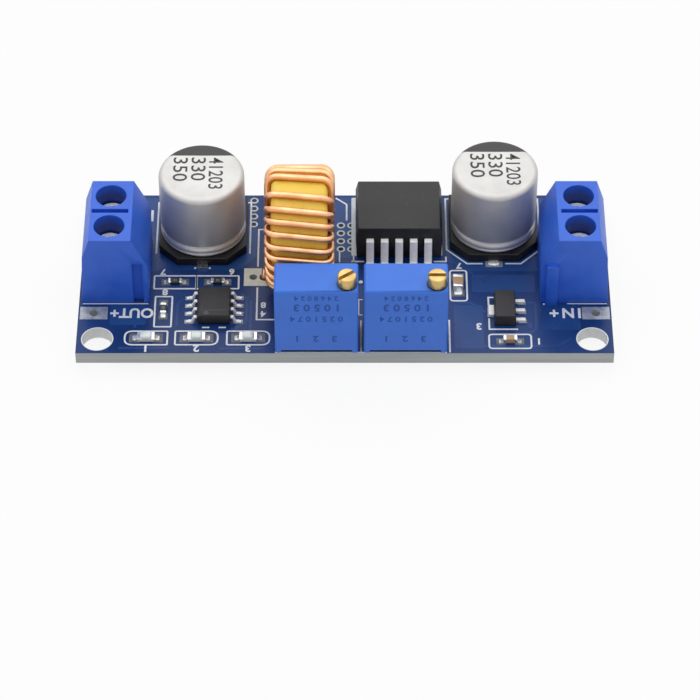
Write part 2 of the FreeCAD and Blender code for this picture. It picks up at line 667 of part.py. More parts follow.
def with_cut_corners(route):
    """The places of a route, with each corner that has a cut replaced by two points cut back from it."""
    points = [route[0][0]]
    for (before, _), (corner, cut), (after, _) in zip(route, route[1:], route[2:]):
        if cut == 0:
            points.append(corner)
            continue
        for other in (before, after):
            arm = other - corner
            points.append(corner + arm * (min(cut, 0.45 * arm.Length) / arm.Length))
    return points + [route[-1][0]]


def mitred_wire(points, radius, sides):
    """Wire of polygon section along straight runs.

    The section is carried along each run on to the plane that halves the bend, so every side face is flat.
    """
    runs = [(b - a).normalize() for a, b in zip(points, points[1:])]
    across = runs[0].cross(Vector(1, 0, 0)).normalize()
    other = runs[0].cross(across)
    ring = [
        points[0] + (across * math.cos(turn) + other * math.sin(turn)) * radius
        for turn in (2 * math.pi * (i + 0.5) / sides for i in range(sides))
    ]
    rings = [ring]
    for place, run, following in zip(points[1:], runs, runs[1:] + runs[-1:]):
        normal = (run + following).normalize()
        ring = [p + run * (normal.dot(place - p) / normal.dot(run)) for p in ring]
        rings.append(ring)
    return faceted(rings)


def inductor_winding():
    """The whole winding with both leads, as one bent wire."""
    return mitred_wire(with_cut_corners(winding_route()), WIRE_D / 2, WIRE_SIDES)


def regulator_centre_y():
    """Middle of the regulator's moulded body along Y."""
    return REGULATOR_FRONT_Y + REGULATOR_LENGTH / 2


def regulator_tab():
    """Heat tab: a plate under the body that shows behind it, with two notched corners."""
    back = REGULATOR_FRONT_Y + REGULATOR_LENGTH + HEAT_TAB_REACH
    front = REGULATOR_FRONT_Y + REGULATOR_LENGTH - HEAT_TAB_UNDER
    half = HEAT_TAB_WIDTH / 2
    notch = HEAT_TAB_NOTCH
    outline = [(-half, front), (half, front), (half, back - notch), (half - notch, back)]
    outline += [(notch - half, back), (-half, back - notch)]
    return prism([Vector(REGULATOR_X + u, y, 0) for u, y in outline], UP * HEAT_TAB_THICKNESS)


def regulator_body():
    """Moulded body with draft above and below its parting line, seated on the heat tab."""
    levels = [
        (0, REGULATOR_BOTTOM_DRAFT),
        (REGULATOR_PARTING_Z, 0),
        (REGULATOR_HEIGHT, REGULATOR_TOP_DRAFT),
    ]
    body = drafted_block(REGULATOR_X, regulator_centre_y(), REGULATOR_WIDTH, REGULATOR_LENGTH, levels)
    return body.cut(regulator_tab())


def regulator_leads():
    """Five gull-wing leads along the front of the body."""
    lead = gull_wing(
        REGULATOR_LEAD_THICKNESS,
        REGULATOR_LEAD_WIDTH,
        REGULATOR_PARTING_Z,
        REGULATOR_LEAD_SHOULDER,
        REGULATOR_LEAD_FOOT_START,
        REGULATOR_LEAD_REACH,
    )
    places = [REGULATOR_X + offset for offset in row_of(5, REGULATOR_LEAD_PITCH)]
    leads = [placed(lead, x, REGULATOR_FRONT_Y, -90) for x in places]
    return Part.makeCompound(leads)


def trimmer_screw_place(x):
    """Axis of a trimmer's screw."""
    return x + TRIMMER_LENGTH / 2 - TRIMMER_SCREW_INSET_X, TRIMMER_FRONT_Y + TRIMMER_SCREW_INSET_Y


def trimmer_housing(x):
    """Moulded shell on two feet, open below for its base, with a stepped bore for the screw."""
    y = TRIMMER_FRONT_Y + TRIMMER_DEPTH / 2
    block = centred_box(x, y, TRIMMER_LENGTH, TRIMMER_DEPTH, 0, TRIMMER_HEIGHT)
    outside = [edge for edge in block.Edges if edge.BoundBox.ZMax > TRIMMER_HEIGHT / 2]
    block = block.makeChamfer(TRIMMER_BEVEL, outside)
    gap_length = TRIMMER_LENGTH - 2 * TRIMMER_FOOT_WIDTH
    gap = centred_box(x, y, gap_length, 2 * TRIMMER_DEPTH, -OVERCUT, TRIMMER_FOOT_HEIGHT)
    walls = 2 * TRIMMER_WALL
    base_top = TRIMMER_FOOT_HEIGHT + TRIMMER_BASE_THICKNESS
    recess = centred_box(x, y, TRIMMER_LENGTH - walls, TRIMMER_DEPTH - walls, -OVERCUT, base_top)
    screw_x, screw_y = trimmer_screw_place(x)
    shaft_r = TRIMMER_SHAFT_R + TRIMMER_SHAFT_CLEARANCE
    pocket_r = TRIMMER_SCREW_R + TRIMMER_POCKET_CLEARANCE
    pocket_floor = TRIMMER_HEIGHT - TRIMMER_POCKET_DEPTH
    bore = rod(screw_x, screw_y, shaft_r, pocket_floor - TRIMMER_SHAFT_LENGTH, TRIMMER_HEIGHT)
    pocket = rod(screw_x, screw_y, pocket_r, pocket_floor, TRIMMER_HEIGHT + OVERCUT)
    return block.cut([gap, recess, bore, pocket])


def trimmer_base(x):
    """Resin plate that closes the shell and holds the pins."""
    y = TRIMMER_FRONT_Y + TRIMMER_DEPTH / 2
    inset = 2 * (TRIMMER_WALL + TRIMMER_BASE_CLEARANCE)
    top = TRIMMER_FOOT_HEIGHT + TRIMMER_BASE_THICKNESS
    plate = centred_box(x, y, TRIMMER_LENGTH - inset, TRIMMER_DEPTH - inset, TRIMMER_FOOT_HEIGHT, top)
    return plate.cut(trimmer_pins(x))


def trimmer_screw(x, slot_turn):
    """Brass adjusting screw: slotted head above the pocket and a plain shaft in the bore."""
    screw_x, screw_y = trimmer_screw_place(x)
    floor_z = TRIMMER_HEIGHT - TRIMMER_POCKET_DEPTH
    top = TRIMMER_HEIGHT + TRIMMER_SCREW_PROUD
    outline = [
        (0, floor_z - TRIMMER_SHAFT_LENGTH),
        (TRIMMER_SHAFT_R, floor_z - TRIMMER_SHAFT_LENGTH),
        (TRIMMER_SHAFT_R, floor_z),
        (TRIMMER_SCREW_R, floor_z),
        (TRIMMER_SCREW_R, top - TRIMMER_SCREW_BEVEL),
        (TRIMMER_SCREW_R - TRIMMER_SCREW_BEVEL, top),
        (0, top),
    ]
    slot = centred_box(
        screw_x, screw_y, 3 * TRIMMER_SCREW_R, TRIMMER_SLOT_WIDTH, top - TRIMMER_SLOT_DEPTH, top + 1
    )
    return turned(outline, screw_x, screw_y).cut(turn_about(slot, screw_x, screw_y, slot_turn))


def amplifier_parting_z():
    """Height of the amplifier's parting line, where its leads come out."""
    return (AMPLIFIER_STANDOFF + AMPLIFIER_HEIGHT) / 2


def amplifier_body():
    """Moulded body held just off the board, with one long top edge bevelled."""
    x, y = AMPLIFIER_PLACE
    levels = [
        (AMPLIFIER_STANDOFF, AMPLIFIER_DRAFT),
        (amplifier_parting_z(), 0),
        (AMPLIFIER_HEIGHT, AMPLIFIER_DRAFT),
    ]
    body = drafted_block(x, y, AMPLIFIER_WIDTH, AMPLIFIER_LENGTH, levels)
    edge_x = x - AMPLIFIER_WIDTH / 2 + AMPLIFIER_DRAFT
    bevel = AMPLIFIER_BEVEL
    corner = [
        Vector(edge_x - bevel, y - AMPLIFIER_LENGTH, AMPLIFIER_HEIGHT - bevel),
        Vector(edge_x + bevel, y - AMPLIFIER_LENGTH, AMPLIFIER_HEIGHT),
        Vector(edge_x - bevel, y - AMPLIFIER_LENGTH, AMPLIFIER_HEIGHT + bevel),
    ]
    return body.cut(prism(corner, Vector(0, 2 * AMPLIFIER_LENGTH, 0)))


def amplifier_leads():
    """Four gull-wing leads on each long side."""
    x, y = AMPLIFIER_PLACE
    lead = gull_wing(
        AMPLIFIER_LEAD_THICKNESS,
        AMPLIFIER_LEAD_WIDTH,
        amplifier_parting_z(),
        AMPLIFIER_LEAD_SHOULDER,
        AMPLIFIER_LEAD_FOOT_START,
        AMPLIFIER_LEAD_REACH,
    )
    half = AMPLIFIER_WIDTH / 2
    leads = []
    for offset in row_of(4, AMPLIFIER_LEAD_PITCH):
        leads.append(placed(lead, x + half, y + offset, 0))
        leads.append(placed(lead, x - half, y + offset, 180))
    return Part.makeCompound(leads)


def reference_leads():
    """Three flat leads on one side and the wide tab on the other, flush with the board."""
    x, y = REFERENCE_PLACE
    half = REFERENCE_WIDTH / 2
    thickness = REFERENCE_LEAD_THICKNESS
    lead_x = x + half + REFERENCE_LEAD_REACH / 2
    strips = [
        centred_box(lead_x, y + offset, REFERENCE_LEAD_REACH, REFERENCE_LEAD_WIDTH, 0, thickness)
        for offset in row_of(3, REFERENCE_LEAD_PITCH)
    ]
    tab_x = x - half - REFERENCE_TAB_REACH / 2
    strips.append(centred_box(tab_x, y, REFERENCE_TAB_REACH, REFERENCE_TAB_WIDTH, 0, thickness))
    return Part.makeCompound(strips)


def reference_body():
    """Flat moulded body with drafted sides above its leads."""
    x, y = REFERENCE_PLACE
    levels = [(0, 0), (REFERENCE_LEAD_THICKNESS, 0), (REFERENCE_HEIGHT, REFERENCE_DRAFT)]
    return drafted_block(x, y, REFERENCE_WIDTH, REFERENCE_LENGTH, levels)


def diode_body():
    """Moulded diode body, held off the board by its leads."""
    x, y = DIODE_PLACE
    middle = DIODE_HEIGHT / 2
    levels = [(DIODE_LEAD_THICKNESS, DIODE_DRAFT), (middle, 0), (DIODE_HEIGHT, DIODE_DRAFT)]
    return drafted_block(x, y, DIODE_LENGTH, DIODE_WIDTH, levels)


def diode_leads():
    """Two leads that come out at mid height, run down the ends and turn in under the body."""
    x, y = DIODE_PLACE
    half = DIODE_LENGTH / 2
    thickness = DIODE_LEAD_THICKNESS
    top = DIODE_HEIGHT / 2 + thickness
    outline = [(half - DIODE_LEAD_FOOT, 0), (half + thickness, 0), (half + thickness, top), (half, top)]
    outline += [(half, thickness), (half - DIODE_LEAD_FOOT, thickness)]
    strip = prism([Vector(u, -DIODE_LEAD_WIDTH / 2, z) for u, z in outline], Vector(0, DIODE_LEAD_WIDTH, 0))
    return Part.makeCompound([placed(strip, x, y, turn) for turn in (0, 180)])


def lamp_base(x):
    """Flat carrier of a lamp, with its solder ends."""
    return centred_box(x, LAMP_Y, LAMP_LENGTH, LAMP_WIDTH, 0, LAMP_BASE_HEIGHT)


def lamp_lens(x):
    """Clear moulded lens on the carrier."""
    levels = [(LAMP_BASE_HEIGHT, 0), (LAMP_BASE_HEIGHT + LAMP_LENS_HEIGHT, LAMP_LENS_DRAFT)]
    return drafted_block(x, LAMP_Y, LAMP_LENS_LENGTH, LAMP_WIDTH, levels)


def chip(sizes, x, y, quarter_turns):
    """Chip part: a ceramic block with plated end caps that stand slightly proud of its top."""
    length, width, height, cap = sizes
    block = centred_box(0, 0, length, width, 0, height)
    dip = centred_box(0, 0, length - 2 * cap, 2 * width, height - CAP_PROUD, height + OVERCUT)
    return placed(block.cut(dip), x, y, 90 * quarter_turns)


def end_solder(length, width, height, x, y, quarter_turns):
    """Solder wedges against both ends of a chip."""
    half = length / 2
    outline = [
        Vector(half, -width / 2, 0),
        Vector(half + CHIP_SOLDER_LENGTH, -width / 2, 0),
        Vector(half, -width / 2, height * CHIP_SOLDER_SHARE),
    ]
    wedge = prism(outline, Vector(0, width, 0))
    return [placed(wedge, x, y, 90 * quarter_turns + turn) for turn in (0, 180)]


def surface_solder():
    """The solder at every chip's and lamp's ends."""
    wedges = []
    for _, sizes, x, y, quarter_turns in CHIP_PLACES:
        wedges += end_solder(sizes[0], sizes[1], sizes[2], x, y, quarter_turns)
    for x in LAMP_PLACES.values():
        wedges += end_solder(LAMP_LENGTH, LAMP_WIDTH, LAMP_BASE_HEIGHT, x, LAMP_Y, 0)
    return Part.makeCompound(wedges)


def solder_joint(x, y, share, pin):
    """Taper of solder under the board, round one pin."""
    top = -BOARD_THICKNESS
    bottom = top - JOINT_HEIGHT * share
    return eight_sided_taper(x, y, JOINT_TIP_R * share, JOINT_R * share, bottom, top).cut(pin)


def lead_solder():
    """The solder joints of the terminals, trimmers and inductor."""
    joints = []
    for pin in contact_pins():
        centre = pin.BoundBox.Center
        joints.append(solder_joint(centre.x, centre.y, 1, pin))
    for x in TRIMMER_PLACES.values():
        for pin in trimmer_pins(x):
            joints.append(solder_joint(pin.BoundBox.Center.x, TRIMMER_PIN_Y, SMALL_JOINT_SHARE, pin))
    wire_corner_r = WIRE_D / 2 / math.cos(math.pi / WIRE_SIDES)
    for x, y in beside_inductor(INDUCTOR_LEAD_SPAN):
        wire = eight_sided_taper(x, y, wire_corner_r, wire_corner_r, LEAD_TIP_Z, 0)
        joints.append(solder_joint(x, y, 1, wire))
    return Part.makeCompound(joints)


def save(node, shape):
    """Write one node, lifted so that the lead tips are at Z = 0."""
    lifted = shape.copy()
    lifted.translate(UP * BOARD_TOP)
    lifted.exportStep(os.path.join("parts", node + ".step"))


def main():
    os.makedirs("parts", exist_ok=True)
    save("circuit_board", circuit_board())
    save("lead_solder", lead_solder())
    save("surface_solder", surface_solder())
    housing = terminal_housing()
    save("input_terminal_housing", housing)
    save("output_terminal_housing", turn_about(housing, 0, 0, 180))
    for pole, y, turn in poles():
        save(pole + "_screw", turn_about(terminal_screw(y), 0, 0, turn))
        save(pole + "_clamp", turn_about(terminal_clamp(y), 0, 0, turn))
        save(pole + "_contact", turn_about(terminal_contact(y), 0, 0, turn))
    for name, (x, y) in CAPACITOR_PLACES.items():
        save(name + "_capacitor_can", capacitor_can(x, y))
        save(name + "_capacitor_base", capacitor_base(x, y))
        save(name + "_capacitor_tabs", Part.makeCompound(capacitor_tabs(x, y)))
    save("inductor_core", inductor_core())
    save("inductor_winding", inductor_winding())
    save("regulator_body", regulator_body())
    save("regulator_tab", regulator_tab())
    save("regulator_leads", regulator_leads())
    for name, x in TRIMMER_PLACES.items():
        save(name + "_trimmer_housing", trimmer_housing(x))
        save(name + "_trimmer_base", trimmer_base(x))
        save(name + "_trimmer_pins", Part.makeCompound(trimmer_pins(x)))
        save(name + "_trimmer_screw", trimmer_screw(x, TRIMMER_SLOT_TURN_DEG[name]))
    save("amplifier_body", amplifier_body())
    save("amplifier_leads", amplifier_leads())
    save("reference_body", reference_body())
    save("reference_leads", reference_leads())
    save("diode_body", diode_body())
    save("diode_leads", diode_leads())
    for name, x in LAMP_PLACES.items():
        save(name + "_lamp_base", lamp_base(x))
        save(name + "_lamp_lens", lamp_lens(x))
    for node, sizes, x, y, quarter_turns in CHIP_PLACES:
        save(node, chip(sizes, x, y, quarter_turns))


main()
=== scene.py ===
"""Looks of the step-down converter module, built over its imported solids.

The parts' places and sizes come from the solids' boxes. Moulded and stamped parts are bevelled copies of
their solids. The winding, core, cans, lamps, chips and solder are new surfaces, and the board gets its
copper, pads, small holes and white print. Lengths are in millimetres until a mesh or a finish is made.
"""

import json
import math

import bmesh
import bpy
import numpy as np
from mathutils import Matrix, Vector


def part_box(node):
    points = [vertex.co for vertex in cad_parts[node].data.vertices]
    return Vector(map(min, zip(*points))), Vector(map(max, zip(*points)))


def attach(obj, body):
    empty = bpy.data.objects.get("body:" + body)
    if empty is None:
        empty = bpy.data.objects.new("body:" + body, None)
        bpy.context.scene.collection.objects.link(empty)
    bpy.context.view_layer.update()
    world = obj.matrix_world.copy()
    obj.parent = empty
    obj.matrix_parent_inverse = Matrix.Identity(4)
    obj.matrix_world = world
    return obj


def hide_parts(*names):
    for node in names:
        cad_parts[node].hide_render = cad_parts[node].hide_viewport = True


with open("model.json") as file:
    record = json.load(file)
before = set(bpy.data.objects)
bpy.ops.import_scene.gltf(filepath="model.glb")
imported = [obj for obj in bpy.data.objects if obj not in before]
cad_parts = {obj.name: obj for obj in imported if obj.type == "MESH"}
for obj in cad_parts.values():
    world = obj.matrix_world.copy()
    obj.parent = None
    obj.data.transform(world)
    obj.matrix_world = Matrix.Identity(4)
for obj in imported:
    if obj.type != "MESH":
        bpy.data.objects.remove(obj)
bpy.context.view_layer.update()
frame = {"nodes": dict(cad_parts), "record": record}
frame_scene = bpy.context.scene
MM = 0.001


# ---------------------------------------------------------------- places

def corners_of(node):
    """Lowest and highest corner of a solid, in millimetres."""
    low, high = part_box(node)
    return np.array(low) / MM, np.array(high) / MM


def middle_of(node):
    """Middle of a solid's box, in millimetres."""
    return sum(corners_of(node)) / 2


def mount_named(name):
    """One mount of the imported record."""
    return next(mount for mount in frame["record"]["mounts"] if mount["name"] == name)


BOARD_LOW, BOARD_HIGH = corners_of("circuit_board")
TOP = BOARD_HIGH[2]
UNDER = BOARD_LOW[2]
WIRE_PADS = mount_named("wire_pad_holes")["dims"]
MOUNTING = mount_named("mounting_holes")["dims"]

# How high copper areas, pads and white print stand on the board, how much higher the tracks stand than the
# areas, and how far copper and figures reach into the board, so that no gap shows.
COPPER = 0.012
PAD = 0.035
PRINT = 0.03
TRACK_RISE = 0.007
SUNK = 0.002

# Usual width of a printed line, and the pads' heights on the two faces.
PRINT_WIDTH = 0.2
BOTH_FACES = ((TOP, TOP + PAD), (UNDER - PAD, UNDER))

# Distances between the middles of neighbouring leads.
REGULATOR_PITCH = 1.7
AMPLIFIER_PITCH = 1.27
REFERENCE_PITCH = 1.5
TRIMMER_PITCH = 2.54
TERMINAL_PITCH = 5.0

# The terminals' screw holes, and the front of their shells without the dovetail key.
SHELL_BORE_R = 1.78
TERMINAL_FRONT = -TERMINAL_PITCH


# ---------------------------------------------------------------- surfaces as (points, faces)

def grid_quads(rows, columns, close_rows, close_columns):
    """Quads of a grid of points, rows by columns. A closed side joins back to its start."""
    row = np.arange(rows if close_rows else rows - 1)
    column = np.arange(columns if close_columns else columns - 1)
    r, c = (part.ravel() for part in np.meshgrid(row, column, indexing="ij"))
    r_next, c_next = (r + 1) % rows, (c + 1) % columns
    quads = (r * columns + c, r * columns + c_next, r_next * columns + c_next, r_next * columns + c)
    return np.stack(quads, -1).tolist()


def lofted(rings, close=False):
    """Closed surface through a row of rings: quads between neighbours, and a flat face over each end ring.

    Where the row closes, the last ring joins the first one instead.
    """
    rows, around = rings.shape[:2]
    faces = grid_quads(rows, around, close, True)
    if not close:
        faces += [list(range(around))[::-1], list(range((rows - 1) * around, rows * around))]
    return rings.reshape(-1, 3), faces


def gathered(shapes):
    """Several surfaces as one, with each one's corner numbers moved on past those before it."""
    starts = np.cumsum([0] + [len(points) for points, _ in shapes])
    faces = [[n + start for n in face] for start, (_, part) in zip(starts, shapes) for face in part]
    return np.concatenate([points for points, _ in shapes]), faces


def shifted(shape, offset):
    """A surface moved by an offset."""
    return shape[0] + np.asarray(offset, float), shape[1]


def turned_flat(shape, degrees):
    """A surface turned about the upright axis through the origin."""
    turn = math.radians(degrees)
    matrix = np.array([[math.cos(turn), -math.sin(turn), 0], [math.sin(turn), math.cos(turn), 0], [0, 0, 1]])
    return shape[0] @ matrix.T, shape[1]


def prism(outline, z0, z1):
    """Upright prism: one outline at two heights, with a flat face over each end."""
    outline = np.asarray(outline, float)
    rings = [np.column_stack([outline, np.full(len(outline), z)]) for z in (z0, z1)]
    return lofted(np.stack(rings))


def revolved(profile, x, y, steps, close=False):
    """Each (radius, height) of a profile goes round an upright circle: x + r cos t, y + r sin t, height."""
    radius, height = np.asarray(profile, float).T
    turn = np.linspace(0, 2 * math.pi, steps, endpoint=False)
    across = x + np.outer(radius, np.cos(turn))
    deep = y + np.outer(radius, np.sin(turn))
    up = np.repeat(height[:, None], steps, 1)
    return lofted(np.stack([across, deep, up], -1), close)


def arc(x, y, radius, start, end, steps=7):
    """Points of a circle's arc: the centre plus radius times (cos, sin) of evenly spaced angles."""
    turn = np.radians(np.linspace(start, end, steps))
    return np.column_stack([x + radius * np.cos(turn), y + radius * np.sin(turn)])


def lump(middle, half, flat, around=28, up=10):
    """Superellipsoid: (a|cos v|^p |cos u|^p, b|cos v|^p |sin u|^p, c|sin v|^p), signs kept, p = 2 / flat."""
    power = 2 / flat
    u = np.linspace(0, 2 * math.pi, around, endpoint=False)
    v = np.linspace(-math.pi / 2, math.pi / 2, up + 2)[1:-1]
    bent = [np.sign(f) * np.abs(f) ** power for f in (np.cos(u), np.sin(u), np.cos(v), np.sin(v))]
    across = np.outer(bent[2], bent[0]) * half[0]
    deep = np.outer(bent[2], bent[1]) * half[1]
    tall = np.repeat((bent[3] * half[2])[:, None], around, 1)
    return shifted(lofted(np.stack([across, deep, tall], -1)), middle)


def unit(ways):
    """Each way at length 1."""
    return ways / np.linalg.norm(ways, axis=1, keepdims=True)


def rounded(corners, radius, close=True):
    """Outline with bent corners: (1-t)^2 A + 2t(1-t) P + t^2 B, from A to B, cut back on both sides of P.

    The cut is one length for all corners or one for each, and the ends of an open line stay where they are.
    """
    corners = np.asarray(corners, float)
    reach = np.broadcast_to(np.asarray(radius, float), len(corners)).copy()
    if not close:
        reach[[0, -1]] = 0
    before, after = np.roll(corners, 1, 0) - corners, np.roll(corners, -1, 0) - corners
    a, b = (corners + unit(arm) * reach[:, None] for arm in (before, after))
    t = np.linspace(0, 1, 5)[None, :, None]
    line = (1 - t) ** 2 * a[:, None] + 2 * t * (1 - t) * corners[:, None] + t**2 * b[:, None]
    line = line.reshape(-1, 2)
    fresh = np.linalg.norm(line - np.roll(line, 1, 0), axis=1) > 1e-6
    fresh[0] = not close or fresh[0]
    return line[fresh]


def rectangle(x0, x1, y0, y1):
    """Four corners, counter-clockwise."""
    return [(x0, y0), (x1, y0), (x1, y1), (x0, y1)]


def ribbon(line, width, z0, z1, close=False):
    """Flat band of even width along a line, whose sides stand off it by the mitre of the two normals."""
    line = np.asarray(line, float)
    along = np.roll(line, -1, 0) - line
    if not close:
        along[-1] = along[-2]
    along = unit(along)
    before = np.roll(along, 1, 0)
    if not close:
        before[0] = along[0]
    normal, earlier = along[:, ::-1] * (-1, 1), before[:, ::-1] * (-1, 1)
    mitre = (normal + earlier) / (1 + (normal * earlier).sum(1, keepdims=True)) * width / 2
    sides = ((line + mitre, z0), (line + mitre, z1), (line - mitre, z1), (line - mitre, z0))
    rings = [np.column_stack([side, np.full(len(line), z)]) for side, z in sides]
    return lofted(np.stack(rings, 1), close)


def holed_plate(x, y, half_x, half_y, hole_r, z0, z1):
    """Rectangular plate with a round hole: a ring with a circle inside and the rectangle outside."""
    corner = math.atan2(half_y, half_x)
    special = [corner, math.pi - corner, math.pi + corner, 2 * math.pi - corner]
    turn = np.unique(np.concatenate([np.linspace(0, 2 * math.pi, 48, endpoint=False), special]))
    way = np.column_stack([np.cos(turn), np.sin(turn)])
    reach = np.minimum(half_x / np.maximum(abs(way[:, 0]), 1e-9), half_y / np.maximum(abs(way[:, 1]), 1e-9))
    inner, outer = way * hole_r + (x, y), way * reach[:, None] + (x, y)
    edges = ((inner, z0), (inner, z1), (outer, z1), (outer, z0))
    rings = [np.column_stack([edge, np.full(len(turn), z)]) for edge, z in edges]
    return lofted(np.stack(rings, 1), True)


def figures(text, height, x, y, z, degrees, depth, bold=0.0, gap=1.0):
    """Printed figures: the built-in font's outlines filled, thickened, given a depth, scaled and turned."""
    curve = bpy.data.curves.new("figures", "FONT")
    curve.body = text
    curve.extrude = 0.5
    curve.offset = bold
    curve.space_character = gap
    curve.resolution_u = 3
    holder = bpy.data.objects.new("figures", curve)
    frame_scene.collection.objects.link(holder)
    mesh = bpy.data.meshes.new_from_object(holder)
    points = np.empty(len(mesh.vertices) * 3)
    mesh.vertices.foreach_get("co", points)
    points = points.reshape(-1, 3)
    faces = [list(face.vertices) for face in mesh.polygons]
    bpy.data.objects.remove(holder)
    bpy.data.meshes.remove(mesh)
    low, high = points.min(0), points.max(0)
    points = (points - (low + high) / 2) * (height / (high[1] - low[1]))
    points[:, 2] = np.where(points[:, 2] > 0, depth, 0)
    return shifted(turned_flat((points, faces), degrees), (x, y, z))


def widened(shape, share):
    """A surface made wider or narrower along X."""
    return shape[0] * (share, 1, 1), shape[1]


def on_front(shape, x, y, z):
    """A flat shape stood up on a front wall: (u, v, depth) goes to (x + u, y - depth, z + v)."""
    points = shape[0]
    return np.column_stack([points[:, 0] + x, y - points[:, 2], points[:, 1] + z]), shape[1]


# ---------------------------------------------------------------- pieces

def piece(name, parts, replaces=(), sharp=38.0):
    """One object from (surface, material) parts, in metres at the origin, which rides on the module's body.

    Its faces are turned outwards, and edges steeper than the sharp angle stay crisp.
    """
    points, faces = gathered([shape for shape, _ in parts])
    mesh = bpy.data.meshes.new(name)
    mesh.from_pydata((points * MM).tolist(), [], faces)
    materials = list(dict.fromkeys(material for _, material in parts))
    for material in materials:
        mesh.materials.append(material)
    chosen = [np.full(len(shape[1]), materials.index(material)) for shape, material in parts]
    mesh.polygons.foreach_set("material_index", np.concatenate(chosen).astype(np.int32))
    outward(mesh)
    mesh.polygons.foreach_set("use_smooth", np.ones(len(mesh.polygons), bool))
    mesh.set_sharp_from_angle(angle=math.radians(sharp))
    return placed(bpy.data.objects.new(name, mesh), "module", replaces)


def outward(mesh):
    """Turn the faces of each closed shell outwards."""
    work = bmesh.new()
    work.from_mesh(mesh)
    bmesh.ops.recalc_face_normals(work, faces=work.faces)
    work.to_mesh(mesh)
    work.free()


def placed(thing, body, replaces):
    """Link an object, seat it on its body and hide the solids it stands for."""
    frame_scene.collection.objects.link(thing)
    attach(thing, body)
    if replaces:
        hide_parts(*replaces)
    return thing


def softened(node, material, width, body="module", angle=32.0, cuts=()):
    """Bevelled copy of a solid: its triangles merge into flat faces, then a bevel rounds the edges.

    Edges steeper than the angle are bevelled. A cut is an axis and a level, in millimetres, where faces stay
    split, so that none of them has a hole.
    """
    mesh = frame["nodes"][node].data.copy()
    mesh.materials.clear()
    mesh.materials.append(material)
    work = bmesh.new()
    work.from_mesh(mesh)
    bmesh.ops.remove_doubles(work, verts=work.verts, dist=0.002 * MM)
    for axis, level in cuts:
        way = Vector([float(axis == i) for i in range(3)])
        everything = work.verts[:] + work.edges[:] + work.faces[:]
        cut = bmesh.ops.bisect_plane(work, geom=everything, plane_co=way * level * MM, plane_no=way)
        for part in cut["geom_cut"]:
            if isinstance(part, bmesh.types.BMEdge):
                part.seam = True
    limit = math.radians(1)
    bmesh.ops.dissolve_limit(work, angle_limit=limit, verts=work.verts, edges=work.edges, delimit={"SEAM"})
    work.to_mesh(mesh)
    work.free()
    mesh.polygons.foreach_set("material_index", np.zeros(len(mesh.polygons), np.int32))
    mesh.polygons.foreach_set("use_smooth", np.ones(len(mesh.polygons), bool))
    thing = bpy.data.objects.new(node + "_finished", mesh)
    bevel = thing.modifiers.new("rounded edges", "BEVEL")
    bevel.width = width * MM
    bevel.segments = 3
    bevel.limit_method = "ANGLE"
    bevel.angle_limit = math.radians(angle)
    bevel.harden_normals = True
    bevel.miter_outer = "MITER_ARC"
    return placed(thing, body, (node,))


# ---------------------------------------------------------------- small shapes on the board

def reach_over(end, way, inner, outer):
    """Lowest and highest place of a stretch from one distance inside an end to another outside it."""
    return sorted((end - way * inner, end + way * outer))


def pad(outline, bend=0.1, finish=None):
    """Pad on the board's top face, with bent corners."""
    return prism(rounded(outline, bend) if bend else outline, TOP, TOP + PAD), finish or PAD_TIN


def solder_drop(x, y, half, flat, sunk=0.02):
    """Soft drop of solder on a pad, with its three half sizes."""
    return lump((x, y, TOP + sunk), half, flat), SOLDER


def mounded_solder(x, y, way, width, length, height):
    """Solder that climbs a part's end: height (1 - u)^2 (1 - 0.6 v^4), u from the end out and v across.

    The way is one of the four directions on the board, out from the part.
    """
    u = np.linspace(0, 1, 8)
    v = np.linspace(-1, 1, 11)
    out, side = np.meshgrid(u, v, indexing="ij")
    tall = height * (1 - out) ** 2 * (1 - 0.6 * side**4)
    half = width / 2 * (1 - 0.18 * out**2)
    top = np.stack([out * length, side * half, TOP + PAD + tall], -1)
    under = top.copy()
    under[..., 2] = TOP + 0.004
    points, faces = lofted(np.concatenate([top, under[:, ::-1]], 1))
    c, s = way
    across = x + points[:, 0] * c - points[:, 1] * s
    deep = y + points[:, 0] * s + points[:, 1] * c
    return (np.column_stack([across, deep, points[:, 2]]), faces), SOLDER


def printed(outline, close=True, width=PRINT_WIDTH):
    """White line on the board's top face."""
    return ribbon(outline, width, TOP - 0.005, TOP + PRINT, close), PRINT_WHITE


def printed_dot(x, y, radius, steps=20):
    """White dot on the board's top face."""
    profile = [(0.02, TOP), (radius, TOP), (radius, TOP + PRINT), (0.02, TOP + PRINT)]
    return revolved(profile, x, y, steps), PRINT_WHITE


def printed_number(text, x, y, height=1.1):
    """Printed figure beside a part, read from behind as most of the board's figures are."""
    return figures(text, height, x, y, TOP - SUNK, 180, PRINT, 0.035), PRINT_WHITE


# ---------------------------------------------------------------- shared effects, as node groups

def new_group(name, inputs, outputs):
    """Empty shader node group with named sockets; returns the group with its input and output nodes."""
    group = bpy.data.node_groups.new(name, "ShaderNodeTree")
    kinds = {"Colour": "NodeSocketColor", "Second Colour": "NodeSocketColor", "Normal": "NodeSocketVector",
             "Stretch": "NodeSocketVector"}
    for labels, way in ((inputs, "INPUT"), (outputs, "OUTPUT")):
        for label in labels:
            kind = kinds.get(label, "NodeSocketFloat")
            group.interface.new_socket(label, in_out=way, socket_type=kind)
    return group, group.nodes.new("NodeGroupInput"), group.nodes.new("NodeGroupOutput")


def plugged(tree, socket, value):
    """Link another node's output to a socket, or set the socket to any other value."""
    if isinstance(value, bpy.types.NodeSocket):
        tree.links.new(value, socket)
    else:
        socket.default_value = value


